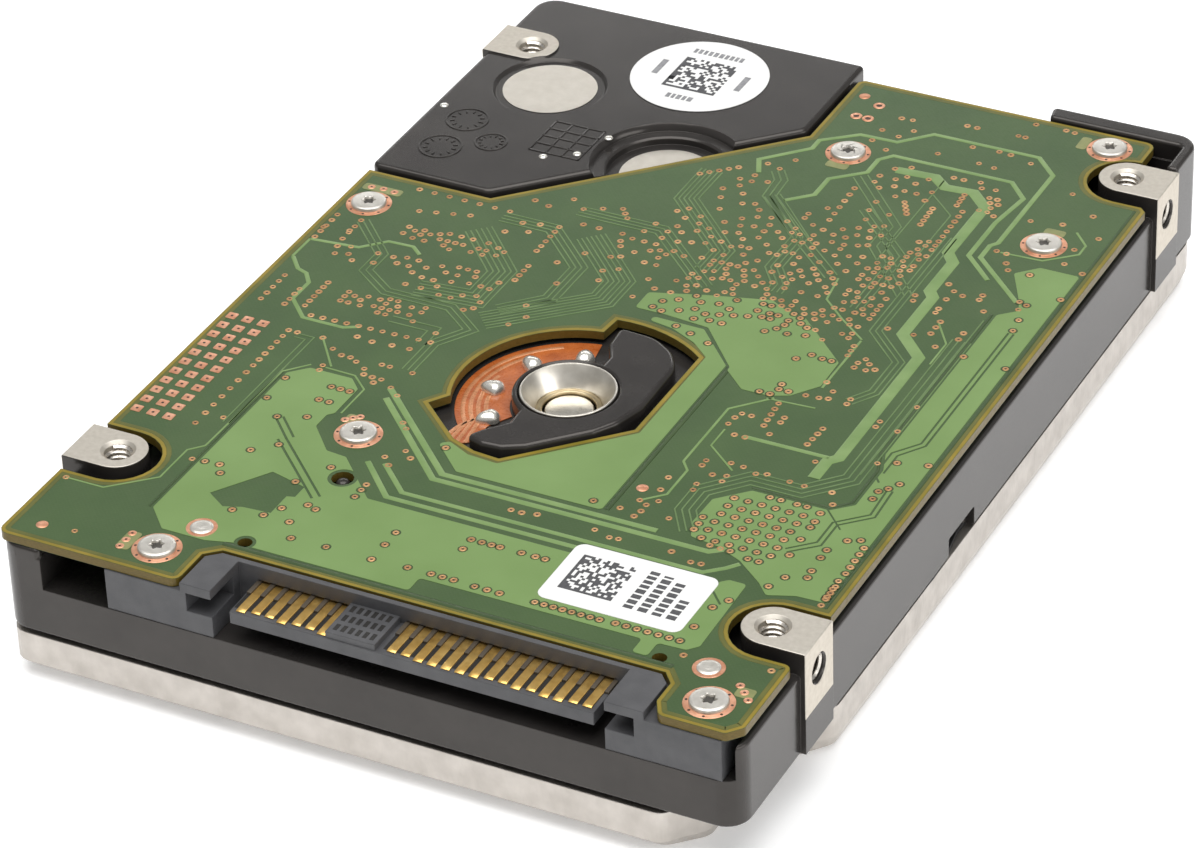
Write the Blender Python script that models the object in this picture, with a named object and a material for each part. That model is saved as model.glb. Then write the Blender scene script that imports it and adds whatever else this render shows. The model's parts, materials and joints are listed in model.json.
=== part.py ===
"""A 2.5-inch, 15 mm high enterprise hard disk drive, lying on its cover with the circuit board on top.

Millimetres throughout: -Y is the connector end, +X the right-hand long side, z = 0 the outside of the
cover and z = 15 the mounting faces. Mesh data is scaled to metres when each piece is made.
"""

import math

import bmesh
import bpy

MM = 0.001

# Outline of the 2.5-inch form factor
LENGTH = 100.2
WIDTH = 69.85
HEIGHT = 15.0
HALF_Y = LENGTH / 2
WALL_X = 34.45  # side walls; only the mounting bosses stand out to the full width
CORNER_R = 2.2

# Four mounting bosses with an M3 hole in the bottom face and one in the side
BOSS_X = 30.86
BOSS_Y = (-36.1, 40.5)
BOSS_R = 2.65
SIDE_HOLE_Z = 12.0
M3_CORE_R = 1.25
M3_SINK_R = 1.85

# Levels
COVER_TOP = 4.5
BASE_Z = 5.0
CAVITY_ROOF = 10.1
DECK_Z = 11.1
WALL_Z = 12.9
PLATE_Z = 14.8
BOARD_Z = (13.65, 14.45)
CONNECTOR_Z = 9.65

# Axes of the two moving groups
SPINDLE = (0.0, -12.0)
PIVOT = (-9.25, 26.1)
LATCH = (-28.5, 19.5)
ARM_REST = -22.9  # direction of the parked arms, degrees
COIL_REST = 157.1

DISK_R = (10.0, 32.5)
DISK_MIDS = (3.2, 5.6, 8.0)
DISK_T = 0.8
ARM_MIDS = (2.0, 4.4, 6.8, 9.2)
ARM_T = 0.8

BOARD_SCREWS = (
    (-31.4, 8.9),
    (-13.65, -24.9),
    (5.2, 35.0),
    (27.2, 45.3),
    (28.1, 27.2),
    (-20.7, -46.6),
    (30.3, -46.8),
)
SOLDER_PEGS = ((-18.8, -42.5), (28.3, -42.7))
CORNER_SCREWS = ((-30.0, -44.6), (26.0, -44.6), (30.8, 46.3), (-30.8, 46.3))

FINISHES = {
    "coated_casting": ((0.030, 0.028, 0.027), 0.32, 0.0),
    "bare_aluminium": ((0.72, 0.70, 0.66), 0.34, 1.0),
    "rubber": ((0.015, 0.015, 0.015), 0.75, 0.0),
    "screw_steel": ((0.66, 0.65, 0.62), 0.28, 1.0),
    "solder_mask": ((0.075, 0.155, 0.055), 0.38, 0.0),
    "insulator_film": ((0.03, 0.03, 0.03), 0.55, 0.0),
    "connector_plastic": ((0.085, 0.085, 0.088), 0.48, 0.0),
    "gold": ((0.86, 0.58, 0.20), 0.25, 1.0),
    "chip_plastic": ((0.02, 0.02, 0.022), 0.5, 0.0),
    "polyimide": ((0.46, 0.15, 0.045), 0.35, 0.0),
    "turned_steel": ((0.74, 0.72, 0.68), 0.22, 1.0),
    "tin": ((0.78, 0.77, 0.74), 0.25, 1.0),
    "steel_laminate": ((0.35, 0.34, 0.33), 0.45, 1.0),
    "nickel": ((0.70, 0.69, 0.67), 0.2, 1.0),
    "ramp_plastic": ((0.72, 0.66, 0.52), 0.5, 0.0),
    "foil": ((0.66, 0.62, 0.55), 0.42, 1.0),
    "paper": ((0.86, 0.86, 0.86), 0.6, 0.0),
    "platter": ((0.62, 0.62, 0.63), 0.06, 1.0),
    "copper_wire": ((0.62, 0.26, 0.12), 0.35, 1.0),
}


def clear_scene():
    for obj in list(bpy.data.objects):
        bpy.data.objects.remove(obj, do_unlink=True)


def finish_material(name):
    """One Principled material per finish, made when it is first asked for."""
    found = bpy.data.materials.get(name)
    if found:
        return found
    colour, roughness, metallic = FINISHES[name]
    made = bpy.data.materials.new(name)
    made.use_nodes = True
    shader = made.node_tree.nodes["Principled BSDF"]
    shader.inputs["Base Color"].default_value = (*colour, 1.0)
    shader.inputs["Roughness"].default_value = roughness
    shader.inputs["Metallic"].default_value = metallic
    made.diffuse_color = (*colour, 1.0)
    return made


def mesh_object(name, points, faces, finish, origin=(0.0, 0.0)):
    """A closed mesh with its faces turned outward. With no finish it is a cutter, which isn't rendered."""
    mesh = bpy.data.meshes.new(name)
    ox, oy = origin
    mesh.from_pydata([((x - ox) * MM, (y - oy) * MM, z * MM) for x, y, z in points], [], faces)
    work = bmesh.new()
    work.from_mesh(mesh)
    bmesh.ops.recalc_face_normals(work, faces=work.faces)
    work.to_mesh(mesh)
    work.free()
    obj = bpy.data.objects.new(name, mesh)
    obj.location = (ox * MM, oy * MM, 0.0)
    bpy.context.scene.collection.objects.link(obj)
    if finish:
        mesh.materials.append(finish_material(finish))
    else:
        obj.hide_render = True
        obj.display_type = "WIRE"
    return obj


def combine(target, operation, cutter):
    modifier = target.modifiers.new(f"{operation.lower()}_{len(target.modifiers)}", "BOOLEAN")
    modifier.operation = operation
    modifier.solver = "EXACT"
    modifier.object = cutter


def cut(target, *cutters):
    for cutter in cutters:
        combine(target, "DIFFERENCE", cutter)


def join(target, *others):
    for other in others:
        combine(target, "UNION", other)


# ---- outlines -------------------------------------------------------------------------------------


def arc(centre, radius, start, end, steps):
    """Points on an arc, in degrees, both ends included."""
    cx, cy = centre
    angles = [math.radians(start + (end - start) * i / steps) for i in range(steps + 1)]
    return [(cx + radius * math.cos(a), cy + radius * math.sin(a)) for a in angles]


def circle(centre, radius, steps=24):
    return arc(centre, radius, 0, 360, steps)[:-1]


def box(x0, x1, y0, y1):
    return [(x0, y0), (x1, y0), (x1, y1), (x0, y1)]


def rounded(corners, steps=4):
    """An outline from (x, y, fillet radius) corners. A radius of 0 keeps the corner sharp."""
    outline = []
    count = len(corners)
    for i, (x, y, radius) in enumerate(corners):
        if radius <= 0:
            outline.append((x, y))
            continue
        before, after = corners[i - 1], corners[(i + 1) % count]
        u = (before[0] - x, before[1] - y)
        v = (after[0] - x, after[1] - y)
        lu, lv = math.hypot(*u), math.hypot(*v)
        u, v = (u[0] / lu, u[1] / lu), (v[0] / lv, v[1] / lv)
        half = math.acos(max(-1.0, min(1.0, u[0] * v[0] + u[1] * v[1]))) / 2
        reach = radius / math.tan(half)
        mid = (u[0] + v[0], u[1] + v[1])
        lm = math.hypot(*mid)
        depth = radius / math.sin(half)
        cx, cy = x + mid[0] / lm * depth, y + mid[1] / lm * depth
        start = math.atan2(y + u[1] * reach - cy, x + u[0] * reach - cx)
        end = math.atan2(y + v[1] * reach - cy, x + v[0] * reach - cx)
        sweep = (end - start + math.pi) % (2 * math.pi) - math.pi
        for k in range(steps + 1):
            a = start + sweep * k / steps
            outline.append((cx + radius * math.cos(a), cy + radius * math.sin(a)))
    return outline


def polar(centre, direction, points):
    """An outline from (radius, degrees away from the direction) pairs."""
    cx, cy = centre
    outline = []
    for radius, angle in points:
        a = math.radians(direction + angle)
        outline.append((cx + radius * math.cos(a), cy + radius * math.sin(a)))
    return outline


def along(centre, direction, points):
    """An outline from (distance along, distance to the left) pairs."""
    cx, cy = centre
    c, s = math.cos(math.radians(direction)), math.sin(math.radians(direction))
    return [(cx + u * c - v * s, cy + u * s + v * c) for u, v in points]


def sector(centre, r0, r1, start, end, steps=10):
    return arc(centre, r1, start, end, steps) + arc(centre, r0, end, start, steps)


def ribbon(points, thickness):
    """A strip of even thickness round an open path."""
    left, right = [], []
    for i, (x, y) in enumerate(points):
        x0, y0 = points[max(i - 1, 0)]
        x1, y1 = points[min(i + 1, len(points) - 1)]
        length = math.hypot(x1 - x0, y1 - y0)
        nx, ny = -(y1 - y0) / length * thickness / 2, (x1 - x0) / length * thickness / 2
        left.append((x + nx, y + ny))
        right.append((x - nx, y - ny))
    return left + right[::-1]


# ---- solids ---------------------------------------------------------------------------------------


def loft(name, sections, finish=None, origin=(0.0, 0.0)):
    """A solid through (outline, z) sections, which all have the same number of points."""
    count = len(sections[0][0])
    points = [(x, y, z) for outline, z in sections for x, y in outline]
    faces = [list(range(count))[::-1], [count * (len(sections) - 1) + i for i in range(count)]]
    for level in range(len(sections) - 1):
        low, high = level * count, (level + 1) * count
        for i in range(count):
            j = (i + 1) % count
            faces.append([low + i, low + j, high + j, high + i])
    return mesh_object(name, points, faces, finish, origin)


def prism(name, outline, z0, z1, finish=None, origin=(0.0, 0.0)):
    return loft(name, [(outline, z0), (outline, z1)], finish, origin)


def ring_prism(name, outer, inner, z0, z1, finish=None, origin=(0.0, 0.0)):
    """A flat ring whose two edges have the same number of points."""
    count = len(outer)
    points = [(x, y, z) for z in (z0, z1) for loop in (outer, inner) for x, y in loop]
    faces = []
    for i in range(count):
        j = (i + 1) % count
        ring = (0, count, 3 * count, 2 * count)
        for a, b in zip(ring, ring[1:] + ring[:1]):
            faces.append([a + i, a + j, b + j, b + i])
    return mesh_object(name, points, faces, finish, origin)


def lathe(name, centre, profile, finish=None, steps=24, along_x=False, middle_z=0.0):
    """A closed (radius, height) profile turned about an upright axis, or about one parallel to X."""
    cx, cy = centre
    points, rows, faces = [], [], []
    for radius, height in profile:
        row = []
        for i in range(steps if radius > 0 else 1):
            a = 2 * math.pi * i / steps
            u, v = radius * math.cos(a), radius * math.sin(a)
            row.append(len(points))
            points.append((height, cy + u, middle_z + v) if along_x else (cx + u, cy + v, height))
        rows.append(row)
    for low, high in zip(rows, rows[1:] + rows[:1]):
        for i in range(steps):
            j = (i + 1) % steps
            if len(low) > 1 and len(high) > 1:
                faces.append([low[i], low[j], high[j], high[i]])
            elif len(low) > 1:
                faces.append([low[i], low[j], high[0]])
            elif len(high) > 1:
                faces.append([low[0], high[j], high[i]])
    return mesh_object(name, points, faces, finish, (0.0, 0.0) if along_x else centre)


def disc(name, centre, radius, z0, z1, finish=None, steps=24):
    return lathe(name, centre, [(0, z0), (radius, z0), (radius, z1), (0, z1)], finish, steps)


def tube(name, centre, r0, r1, z0, z1, finish=None, steps=24):
    return lathe(name, centre, [(r0, z0), (r1, z0), (r1, z1), (r0, z1)], finish, steps)


# ---- shared outlines ------------------------------------------------------------------------------


def cavity_outline(grow=0.0, front=None):
    """The chamber for the disks and the actuator. A front limit cuts the round end off straight."""
    radius, x = 33.4 + grow, 32.6 + grow
    lead = math.degrees(math.acos(x / radius))
    if front is None:
        round_end = arc(SPINDLE, radius, 180 - lead, 360 + lead, 36)
    else:
        stop = math.degrees(math.asin((SPINDLE[1] - front) / radius))
        round_end = arc(SPINDLE, radius, 180 - lead, 180 + stop, 12)
        round_end += arc(SPINDLE, radius, 360 - stop, 360 + lead, 12)
    shoulder = [(x, 36.4 + grow), (29.3 + 0.6 * grow, 36.4 + grow), (27.3 + grow, 39.0 + 0.4 * grow)]
    rear = [(27.3 + grow, 47.6 + grow), (-27.3 - grow, 47.6 + grow)]
    return round_end + shoulder + rear + [(-px, py) for px, py in shoulder[::-1]]


def cover_outline(side, front, rear):
    """The cover, cut back at the front right corner so that the casting's corner shows below."""
    return rounded(
        [
            (-34.2 + side, -50.0 + front, 1.6),
            (27.2 - side * 0.5, -50.0 + front, 1.6),
            (30.2 - side, -46.6 + front * 0.4, 1.6),
            (30.2 - side, -36.2 + side * 0.5, 1.6),
            (34.2 - side, -31.2 + side * 0.5, 1.6),
            (34.2 - side, 50.0 - rear, 2.4),
            (-34.2 + side, 50.0 - rear, 2.4),
        ]
    )


def boss_outline(x_sign, y, out=WIDTH / 2, radius=BOSS_R):
    """The U-shaped plan of a mounting boss, closed by the side face."""
    nose = arc((BOSS_X, y), radius, 270, 90, 12)
    outline = [(out, y + radius), (out, y - radius)] + nose
    return [(x_sign * px, py) for px, py in outline]


def board_outline():
    front_y = -49.93
    right_notch = arc((BOSS_X, BOSS_Y[0]), 3.65, 270, 90, 14)
    rear_notch = arc((BOSS_X, BOSS_Y[1]), 3.7, 270, 90, 14)
    left_notch = arc((-BOSS_X, BOSS_Y[0]), 3.75, 90, -90, 14)
    outline = rounded([
        (-34.3, -39.85, 0.0),
        (-34.3, front_y, 0.9),
        (-16.8, front_y, 0.8),
        (-16.8, -45.8, 0.0),
        (-15.5, -44.64, 0.0),
        (25.4, -44.64, 0.0),
        (26.4, -45.8, 0.0),
        (26.4, -48.3, 0.6),
        (27.3, front_y, 0.8),
        (33.2, front_y, 0.6),
        (34.3, -48.6, 0.6),
        (34.3, -39.75, 0.7),
        (33.0, -39.75, 0.0),
    ])[:-1]
    outline += right_notch
    outline += [(34.3, -32.45), (34.3, 36.2), (33.7, 36.8)]
    outline += rear_notch
    outline += rounded([(30.86, 45.0, 0), (30.86, 47.9, 1.0), (29.0, 47.9, 0)])[:-1]
    outline += [(1.15, 47.9), (0.65, 47.4), (0.65, 36.4), (-21.55, 14.25), (-34.3, 14.25), (-34.3, -32.35)]
    return outline + left_notch


def board_opening():
    """The window round the spindle motor."""
    return (
        arc(SPINDLE, 12.5, 51.6, 96.8, 8)
        + arc(SPINDLE, 10.25, 99.5, 205, 16)
        + [(-10.5, -18.1), (-5.9, -22.1), (-3.4, -23.05), (-0.9, -23.25), (7.7, -14.6)]
    )


def motor_land_outline():
    """The raised land beside the spindle, flush with the mounting faces, and the ring that holds the cup."""
    land = rounded(
        [
            (0.9, -6.0, 0.0),
            (-0.1, -4.1, 0.4),
            (-0.4, -1.2, 0.5),
            (3.3, -1.45, 1.5),
            (5.6, -2.9, 1.0),
            (6.95, -5.0, 1.2),
            (7.1, -11.8, 1.5),
            (6.2, -15.0, 1.0),
            (5.0, -16.9, 0.8),
            (0.6, -21.3, 0.8),
            (-1.2, -22.3, 0.8),
            (-3.1, -22.45, 0.8),
            (-4.9, -21.9, 0.3),
            (-4.1, -20.5, 0.4),
            (-2.4, -18.5, 0.0),
        ],
        3,
    )
    return land + arc(SPINDLE, 4.95, 240, 80, 18)


# ---- casting and cover ----------------------------------------------------------------------------


def make_base_casting():
    x, y = WALL_X, HALF_Y
    corners = [(-x, -y, CORNER_R), (x, -y, CORNER_R), (x, y, CORNER_R), (-x, y, CORNER_R)]
    base = prism("base_casting", rounded(corners, 5), 4.0, PLATE_Z, "coated_casting")
    # The tray for the board leaves the raised plate at the rear left, the high rear corner and one post.
    tray = [
        (-30.2, -55.0), (40.0, -55.0), (40.0, 43.9), (33.35, 43.9), (33.35, 48.2), (20.0, 48.2),
        (20.0, 55.0), (0.15, 55.0), (0.15, 36.7), (-22.1, 14.8), (-40.0, 14.8), (-40.0, -46.0),
        (-30.2, -46.0),
    ]
    deck = [
        (-33.2, -45.0), (33.2, -45.0), (33.2, 48.0), (0.25, 48.0), (0.25, 36.6), (-22.05, 14.65),
        (-33.2, 14.65),
    ]
    cut(
        base,
        prism("cut_tray", tray, WALL_Z, 18.0),
        prism("cut_post_top", box(-40, -29, -55, -45.5), 13.6, 18.0),
        prism("cut_deck", deck, DECK_Z, 18.0),
        prism("cut_connector_bay", box(-30.2, 33.8, -55.0, -43.5), CONNECTOR_Z, 18.0),
    )
    for i, (sx, by) in enumerate((sx, by) for sx in (-1, 1) for by in BOSS_Y):
        join(base, prism(f"add_boss_{i}", boss_outline(sx, by), 3.5, HEIGHT))
    join(
        base,
        disc("add_motor_boss", SPINDLE, 13.3, DECK_Z - 0.6, 13.2, steps=36),
        disc("add_pivot_boss", PIVOT, 6.3, DECK_Z - 0.6, 13.4, steps=32),
        prism("add_motor_land", motor_land_outline(), 12.9, HEIGHT),
    )
    for i, spot in enumerate(BOARD_SCREWS[:5]):
        join(base, disc(f"add_screw_boss_{i}", spot, 2.2, DECK_Z - 0.4, 13.62, steps=16))
    cut(
        base,
        prism("cut_bottom_plane", box(-45, 45, -60, 60), 2.0, BASE_Z),
        prism("cut_chamber", cavity_outline(), 1.0, 9.0),
        prism("cut_chamber_roof", cavity_outline(-0.3, -42.4), 8.0, CAVITY_ROOF),
        prism("cut_coil_bay", sector(PIVOT, 9.4, 21.3, 85, 195, 14), 8.4, 12.6),
        tube("cut_motor_well", SPINDLE, 5.0, 12.3, 9.0, 12.2, steps=36),
        lathe("cut_motor_bore", SPINDLE,
              [(0, 8.0), (2.5, 8.0), (2.5, 12.6), (4.45, 12.6), (4.45, 17.0), (0, 17.0)], steps=32),
        lathe("cut_pivot_seat", PIVOT,
              [(0, 9.0), (2.3, 9.0), (2.3, 13.38), (5.7, 13.38), (5.7, 14.1), (6.9, 14.1), (6.9, 17.0),
               (0, 17.0)], steps=32),
        disc("cut_seal_seat", (-25.7, 34.3), 5.3, 14.5, 17.0, steps=28),
        prism("cut_pry_recess", box(33.4, 40.0, -8.8, -3.3), 2.0, 7.0),
    )
    for i, spot in enumerate(BOARD_SCREWS):
        low, high = (11.6, 15.0) if i < 5 else (7.5, 10.6)
        cut(base, disc(f"cut_screw_{i}", spot, 1.0, low, high, steps=12))
    for i, spot in enumerate(CORNER_SCREWS):
        cut(base, disc(f"cut_cover_screw_{i}", spot, 1.1, 4.0, 8.0, steps=12))
    sink = [(0, 10.9), (M3_CORE_R, 10.9), (M3_CORE_R, 14.4), (2.45, 15.6), (0, 15.6)]
    for i, (sx, by) in enumerate((sx, by) for sx in (-1, 1) for by in BOSS_Y):
        end = sx * 36.0
        side = [(0, sx * 31.1), (M3_CORE_R, sx * 31.1), (M3_CORE_R, end), (0, end)]
        cut(
            base,
            lathe(f"cut_bottom_hole_{i}", (sx * BOSS_X, by), sink, steps=16),
            lathe(f"cut_side_hole_{i}", (0.0, by), side, steps=16, along_x=True, middle_z=SIDE_HOLE_Z),
        )


def make_cover():
    sections = [
        (cover_outline(0.9, 2.2, 1.2), 0.0),
        (cover_outline(0.35, 1.1, 0.5), 0.45),
        (cover_outline(0.0, 0.0, 0.0), 1.5),
        (cover_outline(0.0, 0.0, 0.0), COVER_TOP),
    ]
    cover = loft("top_cover", sections, "bare_aluminium")
    for i, spot in enumerate(CORNER_SCREWS):
        join(cover, disc(f"add_cover_land_{i}", spot, 2.2, 4.0, BASE_Z - 0.02, steps=20))
    cut(cover, prism("cut_cover_tub", cavity_outline(), 1.2, 6.0))
    for i, spot in enumerate(CORNER_SCREWS + (SPINDLE, PIVOT)):
        sink = [(0, -1.0), (2.5, -1.0), (2.5, 0.7), (1.2, 0.7), (1.2, 6.0), (0, 6.0)]
        cut(cover, lathe(f"cut_cover_sink_{i}", spot, sink, steps=20))
    ring_prism("cover_gasket", cavity_outline(0.85), cavity_outline(0.15), 4.52, 4.98, "rubber")
    for i, spot in enumerate(CORNER_SCREWS + (SPINDLE, PIVOT)):
        tip = 7.5 if i < 4 else 3.2
        profile = [(0, 0.05), (2.0, 0.05), (2.1, 0.15), (2.1, 0.68), (0.9, 0.68), (0.9, tip), (0, tip)]
        lathe(f"cover_screw_{i + 1}", spot, profile, "screw_steel", 16)


# ---- circuit board and connector ------------------------------------------------------------------


def make_board():
    z0, z1 = BOARD_Z
    board = prism("circuit_board", board_outline(), z0, z1, "solder_mask")
    cut(board, prism("cut_board_window", board_opening(), 12.0, 16.0))
    for i, spot in enumerate(BOARD_SCREWS):
        cut(board, disc(f"cut_board_hole_{i}", spot, 1.1, 12.0, 16.0, steps=16))
    for i, spot in enumerate(SOLDER_PEGS):
        cut(board, disc(f"cut_peg_hole_{i}", spot, 1.05, 12.0, 16.0, steps=16))
    for i, (x, y, r) in enumerate(((-14.4, -42.9, 0.65), (24.1, -43.1, 0.65), (-11.6, -31.3, 1.0))):
        cut(board, disc(f"cut_locating_hole_{i}", (x, y), r, 12.0, 16.0, steps=12))
    for i, spot in enumerate(BOARD_SCREWS):
        tip = 12.0 if i < 5 else 8.0
        profile = [
            (0, tip), (0.75, tip), (0.75, z1 + 0.02), (1.65, z1 + 0.02), (1.65, z1 + 0.3),
            (1.45, z1 + 0.42), (0, z1 + 0.42),
        ]
        lathe(f"board_screw_{i + 1}", spot, profile, "screw_steel", 20)
    for i, spot in enumerate(SOLDER_PEGS):
        profile = [(0, 13.63), (0.75, 13.63), (0.75, z1 + 0.02), (1.25, z1 + 0.02), (1.15, z1 + 0.1), (0, z1 + 0.2)]
        lathe(f"solder_peg_{i + 1}", spot, profile, "tin", 16)
    prism("board_insulator", rounded([(14.5, -30, 1), (29, -30, 1), (29, 22, 1), (14.5, 22, 1)]),
          DECK_Z + 0.02, DECK_Z + 0.22, "insulator_film")
    prism("controller_chip", box(-31.0, -18.0, -16.0, -3.0), 12.3, z0 - 0.02, "chip_plastic")
    prism("motor_driver_chip", box(17.0, 25.0, 1.0, 9.0), 12.6, z0 - 0.02, "chip_plastic")
    prism("board_label", rounded([(11.0, -39.7, 0.9), (24.1, -39.7, 0.9), (24.1, -31.5, 0.9), (11.0, -31.5, 0.9)]),
          z1 + 0.01, z1 + 0.08, "paper")


def contact_comb(name, first, count, pitch=1.27, width=0.85):
    """A row of contacts on the tongue, joined behind the wall by their carrier strip."""
    front, back, carrier = -49.6, -44.95, -45.22
    outline = []
    for i in range(count):
        x = first + pitch * i
        outline += [(x - width / 2, carrier), (x - width / 2, front), (x + width / 2, front), (x + width / 2, carrier)]
    outline = outline[1:-1]
    left, right = first - width / 2, first + pitch * (count - 1) + width / 2
    prism(name, outline + [(right, back), (left, back)], 12.75, 12.87, "gold")


def make_connector():
    housing = prism("connector_housing", box(-23.8, 32.9, -50.05, -43.75), CONNECTOR_Z + 0.02, 13.62,
                    "connector_plastic")
    crown = [
        (-16.5, -50.05), (26.1, -50.05), (26.1, -45.9), (25.2, -44.9), (-15.35, -44.9), (-16.5, -45.9),
    ]
    join(housing, prism("add_housing_crown", crown, 13.0, 14.4))
    cut(
        housing,
        prism("cut_mouth", box(-13.6, 22.6, -53.0, -45.4), 9.0, 17.0),
        prism("cut_guide_slots", box(-16.0, 25.2, -53.0, -46.4), 11.7, 13.5),
    )
    join(
        housing,
        prism("add_tongue", box(-12.0, 21.5, -49.8, -44.5), 11.5, 12.7),
        prism("add_tongue_bridge", box(-3.0, 1.6, -49.7, -44.6), 12.3, 13.3),
    )
    for i, (x0, x1) in enumerate(((-11.8, -2.75), (2.2, 21.35))):
        cut(housing, prism(f"cut_carrier_groove_{i}", box(x0, x1, -46.0, -44.85), 12.73, 13.05))
    for i, spot in enumerate(BOARD_SCREWS[5:]):
        cut(housing, disc(f"cut_ear_{i}", spot, 1.1, 8.0, 15.0, steps=12))
    contact_comb("signal_contacts", -11.08, 7)
    contact_comb("power_contacts", 2.9, 15)


def make_labels_and_seals():
    disc("foil_seal_1", (-25.7, 34.3), 4.55, 14.51, 14.6, "foil", 32)
    disc("foil_seal_2", PIVOT, 4.55, 13.4, 13.48, "foil", 32)
    disc("round_label", (-13.4, 41.7), 6.7, PLATE_Z + 0.01, PLATE_Z + 0.1, "paper", 36)


# ---- spindle --------------------------------------------------------------------------------------


def make_spindle():
    steps = 36
    shaft = [(1.1, 1.25), (2.2, 1.25), (2.2, 13.0), (0, 13.0), (0, 3.6), (1.1, 3.6)]
    lathe("spindle_shaft", SPINDLE, shaft, "turned_steel", steps)
    cup = [(2.35, 12.62), (4.32, 12.62), (4.32, 15.0), (4.12, 15.0), (2.95, 13.1), (2.35, 13.1)]
    lathe("bearing_cup", SPINDLE, cup, "turned_steel", steps)
    outer, inner = [], []
    for i in range(9):
        for angle, radius in ((-14, 6.4), (-13, 9.3), (13, 9.3), (14, 6.4)):
            a = math.radians(40 * i + angle)
            outer.append((SPINDLE[0] + radius * math.cos(a), SPINDLE[1] + radius * math.sin(a)))
            inner.append((SPINDLE[0] + 5.2 * math.cos(a), SPINDLE[1] + 5.2 * math.sin(a)))
    ring_prism("stator", outer, inner, 10.3, 12.0, "steel_laminate", SPINDLE)
    flex = sector(SPINDLE, 5.15, 9.3, 100, 228, 16)
    tail = [(-6.6, -19.4), (-8.4, -20.6), (-7.4, -22.2), (-5.2, -20.6), (-4.9, -17.6)]
    prism("motor_flex", flex[:17] + tail + flex[18:], 13.22, 13.34, "polyimide")
    hub = [
        (2.3, 2.82), (9.9, 2.82), (9.9, 8.43), (12.0, 8.43), (12.0, 9.3), (11.6, 9.5), (11.6, 11.8),
        (10.6, 11.8), (10.6, 9.5), (2.3, 9.5),
    ]
    lathe("spindle_hub", SPINDLE, hub, "bare_aluminium", steps)
    tube("disk_clamp", SPINDLE, 3.2, 12.0, 2.0, 2.78, "screw_steel", steps)
    tube("rotor_magnet", SPINDLE, 9.75, 10.5, 9.6, 11.6, "nickel", steps)
    for i, middle in enumerate(DISK_MIDS):
        tube(f"disk_{i + 1}", SPINDLE, *DISK_R, middle - DISK_T / 2, middle + DISK_T / 2, "platter", steps)
    for i, (low, high) in enumerate(zip(DISK_MIDS, DISK_MIDS[1:])):
        z0, z1 = low + DISK_T / 2 + 0.02, high - DISK_T / 2 - 0.02
        tube(f"disk_spacer_{i + 1}", SPINDLE, 10.0, 12.0, z0, z1, "bare_aluminium", steps)


# ---- actuator -------------------------------------------------------------------------------------


def make_suspension(index, arm_mid, side):
    """A sprung blade on one face of an arm, with its slider towards the disk."""
    face = arm_mid + side * ARM_T / 2
    near, far = sorted((face + side * 0.01, face + side * 0.15))
    half_width = ((21.5, 2.0), (26.0, 1.7), (33.0, 0.7), (36.4, 0.35))
    outline = [(r, -w) for r, w in half_width] + [(r, w) for r, w in half_width[::-1]]
    blade = prism(f"suspension_{index}", along(PIVOT, ARM_REST, outline), near, far, "nickel", PIVOT)
    low, high = sorted((face + side * 0.08, face + side * 0.32))
    slider = along(PIVOT, ARM_REST, box(33.3, 34.7, -0.5, 0.5))
    join(blade, prism(f"add_slider_{index}", slider, low, high, origin=PIVOT))


def make_actuator():
    block = tube("actuator_block", PIVOT, 4.05, 6.0, 1.5, 9.7, "bare_aluminium", 32)
    arm = rounded([(4.6, -3.4, 0), (24.0, -2.1, 0.5), (24.0, 2.1, 0.5), (4.6, 3.4, 0)], 2)
    for i, middle in enumerate(ARM_MIDS):
        outline = along(PIVOT, ARM_REST, arm)
        join(block, prism(f"add_arm_{i}", outline, middle - ARM_T / 2, middle + ARM_T / 2, origin=PIVOT))
    fork = [
        (4.7, -26), (19.0, -25), (19.0, -21.8), (10.2, -22.5), (10.2, -8), (10.2, 8), (10.2, 22.5),
        (19.0, 21.8), (19.0, 25), (4.7, 26), (4.7, 9), (4.7, -9),
    ]
    join(block, prism("add_fork", polar(PIVOT, COIL_REST, fork), 5.32, 7.48, origin=PIVOT))
    tube("pivot_bearing", PIVOT, 2.1, 3.9, 1.6, 9.6, "turned_steel", 32)
    ends = ((10.8, 20.0, 20.0), (13.2, 17.8, 12.0))
    loops = []
    for r0, r1, half in ends:
        loops.append(arc(PIVOT, r1, COIL_REST - half, COIL_REST + half, 8)
                     + arc(PIVOT, r0, COIL_REST + half, COIL_REST - half, 8))
    ring_prism("voice_coil", *loops, 5.3, 7.5, "copper_wire", PIVOT)
    sides = ((0, 1), (1, -1), (1, 1), (2, -1), (2, 1), (3, -1))
    for i, (arm_index, side) in enumerate(sides):
        make_suspension(i + 1, ARM_MIDS[arm_index], side)


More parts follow.
